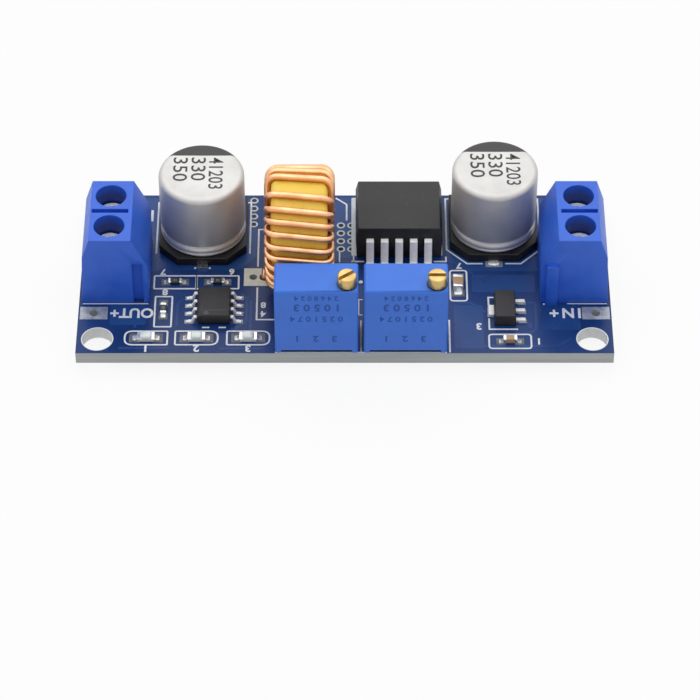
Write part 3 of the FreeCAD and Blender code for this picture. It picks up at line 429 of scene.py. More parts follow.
def wired(tree, kind, settings=None, **sockets):
    """New node in a tree. Its inputs are given by name, or by number as i0, i1 and so on."""
    node = tree.nodes.new(kind)
    for key, value in (settings or {}).items():
        setattr(node, key, value)
    for key, value in sockets.items():
        numbered_socket = key[0] == "i" and key[1:].isdigit()
        plugged(tree, node.inputs[int(key[1:]) if numbered_socket else key.replace("_", " ")], value)
    return node


def maths(tree, operation, *values):
    """Output of a Math node."""
    sockets = {f"i{i}": value for i, value in enumerate(values)}
    return wired(tree, "ShaderNodeMath", {"operation": operation}, **sockets).outputs[0]


def vector_maths(tree, operation, *values):
    """Outputs of a Vector Math node."""
    sockets = {f"i{i}": value for i, value in enumerate(values)}
    return wired(tree, "ShaderNodeVectorMath", {"operation": operation}, **sockets).outputs


def object_place(tree):
    """Each point's place on the object, in metres."""
    return wired(tree, "ShaderNodeTexCoord").outputs["Object"]


def height_of(tree, place):
    """Height of a place."""
    return wired(tree, "ShaderNodeSeparateXYZ", i0=place).outputs["Z"]


def noise_at(tree, place, scale, detail=3.0, rough=0.55):
    """Noise between 0 and 1 over a place, at a number of waves per metre."""
    noise = wired(tree, "ShaderNodeTexNoise", Vector=place, Scale=scale, Detail=detail, Roughness=rough)
    return noise.outputs["Fac"]


def spread(tree, value, low, high, out_low=0.0, out_high=1.0):
    """Value stretched from one range to another and held inside it."""
    stretch = wired(tree, "ShaderNodeMapRange", i0=value, i1=low, i2=high, i3=out_low, i4=out_high)
    return stretch.outputs["Result"]


def between(tree, share, first, second):
    """Value between two, by a share from 0 to 1."""
    return wired(tree, "ShaderNodeMapRange", i0=share, i3=first, i4=second).outputs["Result"]


def blended(tree, share, first, second):
    """Colour between two, by a share."""
    mix = wired(tree, "ShaderNodeMix", {"data_type": "RGBA"}, i0=share, i6=first, i7=second)
    return mix.outputs[2]


def bumped(tree, height, depth):
    """Normal of bumps with a height between 0 and 1, at a depth in metres."""
    return wired(tree, "ShaderNodeBump", Distance=depth, Height=height, Strength=1.0).outputs[0]


def patchy_group():
    """Slow change between two colours and two roughnesses over a surface."""
    inputs = ("Colour", "Second Colour", "Scale", "Roughness", "Second Roughness")
    group, given, result = new_group("patchy_tone", inputs, ("Colour", "Roughness"))
    given = given.outputs
    share = spread(group, noise_at(group, object_place(group), given["Scale"]), 0.36, 0.64)
    colour = blended(group, share, given["Colour"], given["Second Colour"])
    plugged(group, result.inputs["Colour"], colour)
    rough = between(group, share, given["Roughness"], given["Second Roughness"])
    plugged(group, result.inputs["Roughness"], rough)
    return group


def grain_group():
    """Fine bumps: two noises, one four times as fine as the other, as a normal."""
    group, given, result = new_group("fine_grain", ("Scale", "Depth"), ("Normal",))
    given = given.outputs
    place = object_place(group)
    coarse_wave = noise_at(group, place, given["Scale"])
    fine_wave = noise_at(group, place, maths(group, "MULTIPLY", given["Scale"], 4.0))
    both = maths(group, "ADD", coarse_wave, fine_wave)
    plugged(group, result.inputs["Normal"], bumped(group, both, given["Depth"]))
    return group


def drawn_group():
    """Lines of drawn or rolled metal: noise stretched along one way, as a roughness and a normal."""
    inputs = ("Stretch", "Depth", "Roughness", "Second Roughness")
    group, given, result = new_group("drawn_metal", inputs, ("Roughness", "Normal"))
    given = given.outputs
    pulled = vector_maths(group, "MULTIPLY", object_place(group), given["Stretch"])[0]
    lines = noise_at(group, pulled, 1.0, 4.0, 0.6)
    rough = spread(group, lines, 0.3, 0.7, given["Roughness"], given["Second Roughness"])
    plugged(group, result.inputs["Roughness"], rough)
    plugged(group, result.inputs["Normal"], bumped(group, lines, given["Depth"]))
    return group


def specks_group():
    """Sparse small specks, such as dust and moulding flecks, as a mask."""
    group, given, result = new_group("specks", ("Scale", "Amount"), ("Mask",))
    given = given.outputs
    cells = wired(group, "ShaderNodeTexVoronoi", Vector=object_place(group), Scale=given["Scale"])
    near = spread(group, cells.outputs["Distance"], 0.05, 0.22, 1.0, 0.0)
    chosen = wired(group, "ShaderNodeSeparateColor", i0=cells.outputs["Color"]).outputs[0]
    kept = maths(group, "LESS_THAN", chosen, given["Amount"])
    plugged(group, result.inputs["Mask"], maths(group, "MULTIPLY", near, kept))
    return group


PATCHY = patchy_group()
GRAIN = grain_group()
DRAWN = drawn_group()
SPECKS = specks_group()


# ---------------------------------------------------------------- finishes

def new_finish(name, **constants):
    """Material with one Principled shader, whose plain sockets hold the constants."""
    material = bpy.data.materials.new(name)
    material.use_nodes = True
    for socket, value in constants.items():
        material.node_tree.nodes["Principled BSDF"].inputs[socket.replace("_", " ")].default_value = value
    return material


def effect(material, group, **values):
    """Place an effect group in a material with its own values; returns the group node's outputs."""
    return wired(material.node_tree, "ShaderNodeGroup", {"node_tree": group}, **values).outputs


def feed(material, output, socket):
    """Link an output to one of the shader's sockets."""
    shader = material.node_tree.nodes["Principled BSDF"]
    material.node_tree.links.new(output, shader.inputs[socket])


def tone(red, green, blue):
    """Linear colour with full opacity."""
    return (red, green, blue, 1.0)


def grey(level):
    """Even grey with full opacity."""
    return tone(level, level, level)


def patches(material, colours, scale, roughness=None):
    """Slow change between two colours, and between two roughnesses where they are given."""
    values = {"Colour": colours[0], "Second_Colour": colours[1], "Scale": scale}
    if roughness:
        values |= {"Roughness": roughness[0], "Second_Roughness": roughness[1]}
    return effect(material, PATCHY, **values)


def grained(material, scale, depth):
    """Give a material the fine grain, by waves per metre and a depth in metres."""
    feed(material, effect(material, GRAIN, Scale=scale, Depth=depth)["Normal"], "Normal")


def patchy_finish(name, colours, scale, roughness, grain, **constants):
    """Material with a slow change of tone and gloss, and a fine grain."""
    material = new_finish(name, **constants)
    tones = patches(material, colours, scale, roughness)
    feed(material, tones["Colour"], "Base Color")
    feed(material, tones["Roughness"], "Roughness")
    grained(material, *grain)
    return material


def moulded_plastic(name, colours, roughness, grain, flecks=0.06, **constants):
    """Moulded plastic: a slow tone change, fine mould grain and a few pale flecks of dust."""
    material = new_finish(name, **constants)
    tree = material.node_tree
    tones = patches(material, colours, 420.0, roughness)
    dust = effect(material, SPECKS, Scale=2600.0, Amount=flecks)
    pale = tone(*(0.75 * part + 0.16 for part in colours[0][:3]))
    share = spread(tree, dust["Mask"], 0, 1, 0, 0.35)
    feed(material, blended(tree, share, tones["Colour"], pale), "Base Color")
    feed(material, tones["Roughness"], "Roughness")
    grained(material, *grain)
    return material


def bare_metal(name, colours, stretch, depth, roughness):
    """Metal with a slow tint change and the fine lines of drawing or rolling."""
    material = new_finish(name, Metallic=1.0)
    tones = patches(material, colours, 900.0)
    lines = effect(material, DRAWN, Stretch=stretch, Depth=depth, Roughness=roughness[0],
                   Second_Roughness=roughness[1])
    feed(material, tones["Colour"], "Base Color")
    feed(material, lines["Roughness"], "Roughness")
    feed(material, lines["Normal"], "Normal")
    return material


def plated(name, colours, metal, roughness):
    """Matt tin plating: partly mirror, partly pale, with cloudy patches and a fine crystal grain."""
    return patchy_finish(
        name, colours, 1500.0, roughness, (5000.0, 4e-6), Metallic=metal, Specular_IOR_Level=0.4
    )


def printed_figures(name, colours):
    """Printing ink: nearly even, with slightly worn patches."""
    return patchy_finish(name, colours, 3000.0, (0.5, 0.7), (9000.0, 3e-6), Specular_IOR_Level=0.3)


def from_mirrored_axes(tree, place, x, y):
    """Distance on plan from the nearest of four upright axes at (x, y) and its mirror images."""
    plan = vector_maths(tree, "ABSOLUTE", place)[0]
    flat = vector_maths(tree, "MULTIPLY", plan, (1.0, 1.0, 0.0))[0]
    return vector_maths(tree, "DISTANCE", flat, (x * MM, y * MM, 0.0))["Value"]


def darker_bores(material):
    """The terminal shell's screw holes: a deeper blue below their rims, where little light reaches."""
    tree = material.node_tree
    place = object_place(tree)
    x, y = middle_of("input_plus_screw")[:2]
    hole = SHELL_BORE_R * MM
    rim = corners_of("input_terminal_housing")[1][2] * MM
    reach = from_mirrored_axes(tree, place, abs(x), abs(y))
    inside = spread(tree, reach, hole + 0.02 * MM, hole + 0.06 * MM, 1.0, 0.0)
    deep = spread(tree, height_of(tree, place), rim - 1.6 * MM, rim - 0.1 * MM, 0.75, 0.0)
    shader = material.node_tree.nodes["Principled BSDF"]
    shown = shader.inputs["Base Color"].links[0].from_socket
    share = maths(tree, "MULTIPLY", inside, deep)
    feed(material, blended(tree, share, shown, tone(0.003, 0.014, 0.10)), "Base Color")
    return material


def board_finish():
    """Circuit board: blue lacquer on both faces, and bare glass laminate with faint layers on cut edges.

    The walls of the mounting holes are the palest part of the laminate.
    """
    material = new_finish("board_lacquer", Specular_IOR_Level=0.22)
    tree = material.node_tree
    place = object_place(tree)
    from_middle = maths(tree, "SUBTRACT", height_of(tree, place), (TOP + UNDER) / 2 * MM)
    half = (TOP - UNDER) / 2 * MM
    is_face = spread(tree, maths(tree, "ABSOLUTE", from_middle), half - 0.03 * MM, half - 0.01 * MM)
    lacquer = (tone(0.0078, 0.034, 0.145), tone(0.012, 0.047, 0.190))
    tones = patches(material, lacquer, 130.0, (0.24, 0.34))
    layers = wired(tree, "ShaderNodeMapping", Vector=place, Scale=(60.0, 60.0, 9000.0)).outputs[0]
    glass = spread(tree, noise_at(tree, layers, 1.0, 2.0), 0.35, 0.65)
    laminate = blended(tree, glass, tone(0.42, 0.45, 0.44), tone(0.55, 0.57, 0.56))
    hole = MOUNTING["hole_r_mm"] * MM
    reach = from_mirrored_axes(tree, place, MOUNTING["spacing_x_mm"] / 2, MOUNTING["spacing_y_mm"] / 2)
    off_hole = spread(tree, reach, hole + 0.09 * MM, hole + 0.12 * MM)
    colour = blended(tree, is_face, laminate, tones["Colour"])
    feed(material, blended(tree, off_hole, tone(0.88, 0.90, 0.88), colour), "Base Color")
    feed(material, between(tree, is_face, 0.75, tones["Roughness"]), "Roughness")
    grained(material, 1500.0, 4e-6)
    return material


def can_finish():
    """Satin aluminium can. The piece's own map places the black print: across the back of the top face."""
    material = new_finish("can_aluminium")
    tree = material.node_tree
    lines = effect(material, DRAWN, Stretch=(900.0, 900.0, 5200.0), Depth=1.2e-6, Roughness=0.48,
                   Second_Roughness=0.58)
    tones = patches(material, (tone(0.57, 0.56, 0.545), tone(0.63, 0.62, 0.60)), 300.0)
    own_map = wired(tree, "ShaderNodeUVMap").outputs[0]
    back = wired(tree, "ShaderNodeSeparateXYZ", i0=own_map).outputs["Y"]
    is_back = spread(tree, back, CAN_PRINT_FROM, CAN_PRINT_FROM + 0.012)
    rim = (corners_of("input_capacitor_can")[1][2] - 0.36) * MM
    on_top = spread(tree, height_of(tree, object_place(tree)), rim, rim + 0.04 * MM)
    black = maths(tree, "MULTIPLY", is_back, on_top)
    feed(material, blended(tree, black, tones["Colour"], tone(0.03, 0.03, 0.032)), "Base Color")
    feed(material, spread(tree, black, 0, 1, 0.54, 0.0), "Metallic")
    feed(material, between(tree, black, lines["Roughness"], 0.5), "Roughness")
    feed(material, lines["Normal"], "Normal")
    return material


# The share of a can's radius behind its middle at which the black print starts.
CAN_PRINT_FROM = 0.56

BOARD = board_finish()
COPPER_LACQUER = patchy_finish(
    "lacquer_over_copper", (tone(0.012, 0.049, 0.190), tone(0.018, 0.067, 0.242)), 160.0, (0.22, 0.32),
    (1500.0, 4e-6), Specular_IOR_Level=0.25
)
SOLDER = patchy_finish(
    "solder", (tone(0.74, 0.75, 0.76), tone(0.50, 0.51, 0.53)), 2400.0, (0.24, 0.42), (3500.0, 1e-5),
    Metallic=0.5
)
ENAMELLED = patchy_finish(
    "enamelled_copper", (tone(0.88, 0.50, 0.28), tone(0.76, 0.39, 0.19)), 650.0, (0.30, 0.42), (1200.0, 6e-6),
    Metallic=1.0, Coat_Roughness=0.12, Coat_Tint=tone(1.0, 0.90, 0.78)
)
LENS = patchy_finish(
    "lamp_lens", (tone(0.82, 0.90, 0.88), tone(0.90, 0.95, 0.93)), 1200.0, (0.12, 0.2), (4000.0, 2e-6),
    Transmission_Weight=0.12, IOR=1.5, Coat_Weight=0.4
)
CAN = can_finish()

PRINT_WHITE = printed_figures("board_print", (tone(0.82, 0.84, 0.86), tone(0.72, 0.75, 0.79)))
CAN_FIGURES = printed_figures("can_print", (tone(0.045, 0.045, 0.05), tone(0.075, 0.075, 0.08)))
TRIMMER_PRINT = printed_figures("trimmer_print", (tone(0.018, 0.085, 0.40), tone(0.024, 0.105, 0.46)))
FIGURES_GREY = printed_figures("package_print", (tone(0.11, 0.11, 0.115), tone(0.085, 0.085, 0.09)))
FIGURES_WHITE = printed_figures("chip_print", (grey(0.42), grey(0.34)))

TIN = bare_metal(
    "tinned_lead", (tone(0.86, 0.87, 0.88), tone(0.76, 0.77, 0.79)), (900.0, 900.0, 4000.0), 2e-6, (0.2, 0.34)
)
STEEL = bare_metal(
    "plated_steel", (tone(0.84, 0.84, 0.83), grey(0.74)), (3000.0, 800.0, 800.0), 2e-6, (0.34, 0.5)
)
BRASS = bare_metal(
    "turned_brass", (tone(0.64, 0.46, 0.19), tone(0.50, 0.35, 0.13)), (800.0, 800.0, 6000.0), 3e-6,
    (0.32, 0.48)
)

BRIGHT_TIN = plated("bright_tin", (tone(0.96, 0.96, 0.95), grey(0.90)), 0.05, (0.36, 0.48))
TAB_TIN = plated("rolled_tin", (tone(0.56, 0.57, 0.58), tone(0.48, 0.49, 0.51)), 0.6, (0.36, 0.5))
PAD_TIN = plated("tinned_pad", (tone(0.34, 0.37, 0.40), tone(0.44, 0.47, 0.50)), 0.55, (0.40, 0.55))
# Pads under the chips and lamps: a dark grey painted in as the reflection of a dark room, where the tin alone
# would be pale.
PAD_PAINTED_REFLECTION = plated("pad_painted_dark_reflection", (tone(0.09, 0.10, 0.11), tone(0.17, 0.18, 0.19)), 0.30, (0.45, 0.60))
PAD_CREAM = plated("levelled_pad", (tone(0.60, 0.61, 0.53), tone(0.68, 0.69, 0.61)), 0.10, (0.45, 0.60))

TERMINAL_BLUE = darker_bores(moulded_plastic(
    "terminal_plastic", (tone(0.021, 0.120, 0.68), tone(0.028, 0.142, 0.74)), (0.38, 0.48), (2500.0, 6e-6),
    Specular_IOR_Level=0.5
))
TRIMMER_BLUE = moulded_plastic(
    "trimmer_plastic", (tone(0.040, 0.175, 0.74), tone(0.048, 0.195, 0.78)), (0.36, 0.46), (3000.0, 5e-6),
    Specular_IOR_Level=0.4
)
# Resin floor under the trimmer shells: the resin's own dark colour, made near-black as painted shade for the
# gap between the feet.
TRIMMER_RESIN_AND_SHADE = moulded_plastic(
    "trimmer_resin", (tone(0.008, 0.010, 0.018), tone(0.012, 0.015, 0.026)), (0.4, 0.55), (1800.0, 1e-5)
)
PACKAGE = moulded_plastic(
    "package_compound", (tone(0.021, 0.021, 0.023), tone(0.030, 0.030, 0.031)), (0.45, 0.58), (5200.0, 7e-6),
    0.1, Specular_IOR_Level=0.33
)
BASE_BLACK = moulded_plastic(
    "base_plastic", (tone(0.008, 0.008, 0.009), tone(0.012, 0.012, 0.013)), (0.4, 0.52), (3500.0, 6e-6),
    Specular_IOR_Level=0.3
)
CORE_YELLOW = moulded_plastic(
    "core_coating", (tone(0.90, 0.60, 0.070), tone(0.94, 0.67, 0.11)), (0.42, 0.55), (1400.0, 1.6e-5),
    Specular_IOR_Level=0.4
)
GLAZE = moulded_plastic(
    "chip_glaze", (tone(0.024, 0.024, 0.026), tone(0.034, 0.034, 0.036)), (0.28, 0.4), (4000.0, 4e-6)
)
CHIP_TAN = moulded_plastic(
    "chip_tan", (tone(0.42, 0.27, 0.15), tone(0.48, 0.32, 0.19)), (0.35, 0.5), (4000.0, 5e-6)
)
CARRIER = moulded_plastic(
    "lamp_carrier", (tone(0.78, 0.80, 0.76), tone(0.70, 0.72, 0.68)), (0.4, 0.5), (4000.0, 5e-6)
)
# Near-black disc in the middle of each small plated hole: painted shade for the hole, which isn't cut through
# the board.
HOLE_SHADE_DISC = moulded_plastic(
    "painted_hole_shade", (tone(0.006, 0.008, 0.014), tone(0.01, 0.012, 0.02)), (0.6, 0.8), (4000.0, 5e-6)
)


# ---------------------------------------------------------------- inductor

CORE_LOW, CORE_HIGH = corners_of("inductor_core")
CORE_MIDDLE = (CORE_LOW + CORE_HIGH) / 2
CORE_R = (CORE_HIGH[2] - CORE_LOW[2]) / 2
CORE_HALF = (CORE_HIGH[0] - CORE_LOW[0]) / 2
BORE_R = 3.85
WIRE_R = 0.38
WIRE_GAP = 0.06
SIDE_GAP = 0.05

# Where the wire's middle line runs along the core, and how wide it bends round the core's edges.
OUTER_RUN_R = CORE_R + WIRE_GAP + WIRE_R
INNER_RUN_R = BORE_R - WIRE_GAP - WIRE_R
SIDE_RUN = CORE_HALF + SIDE_GAP + WIRE_R
OUTER_BEND = 1.2
INNER_BEND = 0.5

# The hand-wound turns: the angles of those in front, how many follow at their mean pitch on each side, how
# far an outer run slants, and how many pitches the inner runs lag.
FRONT_TURNS_DEG = (124.0, 112.0, 99.2, 75.0, 59.3, 47.0, 35.2, 22.2, 11.0, -1.2, -14.0)
TURNS_BEHIND = 9
TURNS_BELOW = 4
SLANT_DEG = 3.0
INNER_LAG = 0.75

# Where the leads go down, from the core's middle and on the board.
LEAD_SIDE = 4.2
LEAD_Y = -0.8


def turn_angles():
    """Angles of each turn's outer and inner run, from the front (0) over the top (90), last turn lowest."""
    pitch = (FRONT_TURNS_DEG[0] - FRONT_TURNS_DEG[-1]) / (len(FRONT_TURNS_DEG) - 1)
    behind = FRONT_TURNS_DEG[0] + pitch * np.arange(TURNS_BEHIND, 0, -1)
    below = FRONT_TURNS_DEG[-1] - pitch * np.arange(1, TURNS_BELOW + 1)
    outer = np.concatenate([behind, FRONT_TURNS_DEG, below])
    return outer, behind[0] - pitch * (np.arange(len(outer)) + INNER_LAG)


def turn_outline():
    """One turn seen along the wire's ring: a rectangle round the core's section with bent corners.

    It gives the points, as distance along the core's axis and distance from it, the length of wire up to each
    from the outer left bend, the point where the first bend starts, and the middle points of the four bends.
    """
    outer, inner = OUTER_RUN_R - OUTER_BEND, INNER_RUN_R + INNER_BEND
    wide, narrow = SIDE_RUN - OUTER_BEND, SIDE_RUN - INNER_BEND
    stretches = [
        np.column_stack([np.linspace(-wide, wide, 9)[:-1], np.full(8, OUTER_RUN_R)]),
        arc(wide, outer, OUTER_BEND, 90, 0, 8),
        np.column_stack([np.full(3, SIDE_RUN), np.linspace(outer, inner, 5)[1:-1]]),
        arc(narrow, inner, INNER_BEND, 0, -90, 6),
        np.column_stack([np.linspace(narrow, -narrow, 7)[1:-1], np.full(5, INNER_RUN_R)]),
        arc(-narrow, inner, INNER_BEND, -90, -180, 6),
        np.column_stack([np.full(3, -SIDE_RUN), np.linspace(inner, outer, 5)[1:-1]]),
        arc(-wide, outer, OUTER_BEND, 180, 90, 8)[:-1],
    ]
    line = np.concatenate(stretches)
    starts = np.cumsum([0] + [len(stretch) for stretch in stretches])
    bends = [starts[i] + len(stretches[i]) // 2 for i in (1, 3, 5, 7)]
    steps = np.linalg.norm(np.roll(line, -1, 0) - line, axis=1)
    return line, np.concatenate([[0], np.cumsum(steps)]), starts[1], bends


def coil_line():
    """Middle line of the turns and, at each point, the way round the core.

    The turn outline repeats, while the angle runs straight between the angles at its four corners and is then
    evened out over the bends. A point is (axis distance, -r cos a, r sin a) from the core's middle.
    """
    line, lengths, first_bend, bends = turn_outline()
    around = lengths[-1]
    outer, inner = turn_angles()
    right_outer, right_inner, left_inner, left_outer = lengths[bends]
    start = np.arange(len(outer))[:, None] * around
    knots = start + np.array([left_outer - around, right_outer, right_inner, left_inner])
    values = np.column_stack([outer + SLANT_DEG, outer - SLANT_DEG, inner, inner])
    places = (start + lengths[:-1]).ravel()
    keep = places <= places[-1] - around + lengths[first_bend] + 1e-9
    angles = np.interp(places, knots.ravel(), values.ravel())
    angles = np.convolve(np.pad(angles, 2, "edge"), np.ones(5) / 5, "valid")
    angles = np.radians(angles[keep])
    flat = np.tile(line, (len(outer), 1))[keep]
    points = np.column_stack([flat[:, 0], -flat[:, 1] * np.cos(angles), flat[:, 1] * np.sin(angles)])
    way_round = np.column_stack([np.zeros(len(angles)), np.sin(angles), np.cos(angles)])
    return points + CORE_MIDDLE, way_round


def bent_lead(a, b, c, d):
    """Bend of a lead: the cubic (1-t)^3 A + 3t(1-t)^2 B + 3t^2(1-t) C + t^3 D."""
    t = np.linspace(0, 1, 22)[:, None]
    a, b, c, d = (np.asarray(point, float) for point in (a, b, c, d))
    return (1 - t) ** 3 * a + 3 * t * (1 - t) ** 2 * b + 3 * t**2 * (1 - t) * c + t**3 * d


def lead_side(line):
    """A way across a lead that never lies along it: the run crossed with (0, -rise, level run)."""
    along = unit(np.gradient(line, axis=0))
    level = np.hypot(along[:, 0], along[:, 1])
    return np.cross(along, np.column_stack([np.zeros(len(line)), -along[:, 2], level]))


def round_wire(line, across, radius):
    """Round wire along a line: circles in the plane of the side way and its cross with the run."""
    along = unit(np.gradient(line, axis=0))
    side = unit(across - (across * along).sum(1, keepdims=True) * along)
    other = np.cross(along, side)
    turn = np.linspace(0, 2 * math.pi, 14, endpoint=False)
    circle = side[:, None] * np.cos(turn)[None, :, None] + other[:, None] * np.sin(turn)[None, :, None]
    return lofted(line[:, None] + radius * circle)


def winding():
    """The wire with both leads, in one line from the left lead tip to the right one."""
    coil, way_round = coil_line()
    left = np.array([CORE_MIDDLE[0] - LEAD_SIDE, LEAD_Y, 0])
    right = np.array([CORE_MIDDLE[0] + LEAD_SIDE, LEAD_Y, 0])
    tip, foot, bend = (np.array([0, 0, z]) for z in (0.02, TOP + 0.15, TOP + 1.05))
    corner_in = coil[0] - (OUTER_BEND, 0, 0)
    corner_out = coil[-1] + (OUTER_BEND, 0, 0)
    rise = np.linspace(left + tip, left + foot, 6)
    lead_in = np.concatenate([rise[:-1], bent_lead(left + foot, left + bend, corner_in, coil[0])[:-1]])
    lead_out = bent_lead(coil[-1], corner_out, right + bend, right + foot)[1:]
    lead_out = np.concatenate([lead_out[:-1], np.linspace(right + foot, right + tip, 6)])
    line = np.concatenate([lead_in, coil, lead_out])
    across = np.concatenate([lead_side(lead_in), way_round, lead_side(lead_out)])
    parts = [(round_wire(line, across, WIRE_R), ENAMELLED)]
    piece("winding", parts, replaces=["inductor_winding"])


def core():
    """Coated ring core: a rectangle with rounded corners goes round the X axis."""
    edge, rim = 0.7, 0.5
    outer, bore, half = CORE_R, BORE_R, CORE_HALF
    profile = np.concatenate([
        arc(outer - edge, half - edge, edge, 0, 90),
        arc(bore + rim, half - rim, rim, 90, 180),
        arc(bore + rim, rim - half, rim, 180, 270),
        arc(outer - edge, edge - half, edge, 270, 360),
    ])
    points, faces = revolved(profile, 0, 0, 128, True)
    ring = points[:, [2, 0, 1]] + CORE_MIDDLE, faces
    piece("core", [(ring, CORE_YELLOW)], replaces=["inductor_core"])


# ---------------------------------------------------------------- capacitors

CAN_EDGE_R = 0.68

# Each line of figures on a can: its words, its length and its place across the can.
CAN_LINES = (("41203", 5.3, 2.05), ("330", 3.9, 0.0), ("350", 4.0, -2.1))
CAN_LINE_SHIFT = {"output": -0.35, "input": 0.05}
CAN_FIGURE_HEIGHT = 1.7


def can(name):
    """Drawn can: round shoulder, straight wall, rolled groove, swelled foot and curled lower edge.

    The top face carries three lines of figures that read towards the front, and black print at the back.
    """
    low, high = corners_of(f"{name}_capacitor_can")
    middle = (low + high) / 2
    x, y = middle[:2]
    r, top, foot = (high[0] - low[0]) / 2, high[2] - 0.02, low[2]
    groove = foot + 1.5
    flat_r = r - CAN_EDGE_R
    profile = np.concatenate([
        [(0.35, top - 0.02), (r * 0.5, top - 0.02), (flat_r - 0.25, top - 0.015), (flat_r - 0.12, top)],
        arc(flat_r, top - CAN_EDGE_R, CAN_EDGE_R, 88, 0, 12),
        [(r, groove + 0.26), (r - 0.04, groove + 0.2)],
        arc(r - 0.04, groove, 0.24, 120, 240, 9),
        arc(r - 0.5, groove - 0.68, 0.5, 66, -40, 11),
        arc(r - 0.36, foot + 0.36, 0.36, 0, -90, 7),
        [(0.35, foot)],
    ])
    parts = [(revolved(profile, x, y, 112), CAN)]
    start = y + CAN_PRINT_FROM * r - 0.3
    for text, length, across in CAN_LINES:
        points, faces = figures(text, CAN_FIGURE_HEIGHT, 0, 0, top - 0.03, -90, 0.02, 0.006)
        points = points * (1, length / np.ptp(points[:, 1]), 1)
        line = shifted((points, faces), (x + across + CAN_LINE_SHIFT[name], start - length / 2, 0))
        parts.append((line, CAN_FIGURES))
    thing = piece(f"{name}_can", parts, replaces=[f"{name}_capacitor_can"], sharp=50)
    map_from_above(thing, x, y, r)


def map_from_above(thing, x, y, half):
    """Map of a piece from above: (point - middle) / half, so that print sits by the piece's own middle."""
    mesh = thing.data
    points = np.empty(len(mesh.vertices) * 3)
    mesh.vertices.foreach_get("co", points)
    corner = np.empty(len(mesh.loops), np.int32)
    mesh.loops.foreach_get("vertex_index", corner)
    flat = (points.reshape(-1, 3)[:, :2] / MM - (x, y)) / half
    layer = mesh.uv_layers.new(name="from_above")
    layer.data.foreach_set("uv", flat[corner].astype(np.float32).ravel())


def capacitor(name):
    """Can on its moulded base, with solder over its tabs, and two printed dots at the output's front tab."""
    can(name)
    softened(f"{name}_capacitor_base", BASE_BLACK, 0.12)
    low, high = corners_of(f"{name}_capacitor_tabs")
    x = (low[0] + high[0]) / 2
    parts = [(prism(rectangle(low[0], high[0], low[1], high[1]), TOP + PAD, high[2]), TIN)]
    for y, way in ((low[1], -1), (high[1], 1)):
        base_edge = y - way * 0.7
        if name == "output" and way < 0:
            parts += [printed_dot(x + side * 0.85, base_edge - 0.45, 0.13) for side in (-1, 1)]
            continue
        parts.append(pad(rectangle(x - 1.0, x + 1.0, *reach_over(y, way, 1.5, 0.22)), 0.12))
        parts.append(solder_drop(x, base_edge + way * 0.42, (0.82, 0.5, 0.36), 2.6, 0.03))
    piece(f"{name}_tab_solder", parts, replaces=[f"{name}_capacitor_tabs"])


# ---------------------------------------------------------------- moulded packages

def regulator():
    """Regulator moulding with a shallow round mark from its mould, bright leads and heat tab."""
    softened("regulator_body", PACKAGE, 0.16)
    softened("regulator_tab", TAB_TIN, 0.08)
    softened("regulator_leads", BRIGHT_TIN, 0.09, angle=20)
    low, high = corners_of("regulator_body")
    x, y = (low + high)[:2] / 2
    low_z, high_z = high[2] - 0.03, high[2] + 0.004
    ring = [(1.32, low_z), (1.32, high_z), (1.40, high_z), (1.40, low_z)]
    piece("regulator_mould_mark", [(revolved(ring, x + 0.3, y + 0.9, 64, True), PACKAGE)])


def amplifier():
    """Amplifier moulding with a pale printed stripe and a printed ring that marks the first lead."""
    softened("amplifier_body", PACKAGE, 0.07)
    softened("amplifier_leads", BRIGHT_TIN, 0.04, angle=20)
    low, high = corners_of("amplifier_body")
    top = high[2]
    stripe = rectangle(low[0] + 0.5, high[0] - 0.18, low[1] + 0.95, low[1] + 1.02)
    ring = [(0.05, top - 0.01), (0.05, top + 0.004), (0.3, top + 0.004), (0.3, top - 0.01)]
    parts = [
        (prism(stripe, top - 0.01, top + 0.006), FIGURES_GREY),
        (revolved(ring, low[0] + 1.1, low[1] + 0.55, 32, True), FIGURES_GREY),
    ]
    piece("amplifier_print", parts)


def small_packages():
    """Reference regulator and catch diode, with their tinned leads."""
    softened("reference_body", PACKAGE, 0.08)
    softened("reference_leads", BRIGHT_TIN, 0.05)
    softened("diode_body", PACKAGE, 0.08)
    softened("diode_leads", TIN, 0.04)
    low, high = corners_of("diode_body")
    band = rectangle(low[0] + 0.55, low[0] + 1.0, low[1] + 0.25, high[1] - 0.25)
    piece("diode_band", [(prism(band, high[2] - 0.01, high[2] + 0.005), FIGURES_GREY)])


# ---------------------------------------------------------------- trimmers

# Each row of figures on a trimmer's front: its level above the shell's foot, its height and its words.
TRIMMER_ROWS = (
    (8.8, 0.75, "2 4 6 8 0 2 4"),
    (7.3, 1.15, "1 0 5 0 3"),
    (5.5, 0.9, "0 2 5 1 0 7 4"),
    (2.3, 1.0, "3    2    1"),
)
TRIMMER_ROW_WIDTH = 7.6


def trimmer(side):
    """Trimmer: soft-edged shell with faint printed figures, a resin floor whose near-black is partly painted
    shade, square pins and a brass screw.
    """
    shell = f"{side}_trimmer_housing"
    softened(shell, TRIMMER_BLUE, 0.1)
    softened(f"{side}_trimmer_base", TRIMMER_RESIN_AND_SHADE, 0.06)
    softened(f"{side}_trimmer_pins", TIN, 0.05)
    screw = f"{side}_trimmer_screw"
    softened(screw, BRASS, 0.05, screw)
    low, high = corners_of(shell)
    x = (low[0] + high[0]) / 2
    parts = []
    for level, height, text in TRIMMER_ROWS:
        flat = figures(text, height, 0, 0, 0, 180, 0.006, 0.03)
        flat = widened(flat, min(1.0, TRIMMER_ROW_WIDTH / np.ptp(flat[0][:, 0])))
        parts.append((on_front(flat, x, low[1] + 0.003, low[2] + level), TRIMMER_PRINT))
    piece(f"{side}_trimmer_print", parts)


# ---------------------------------------------------------------- screw terminals

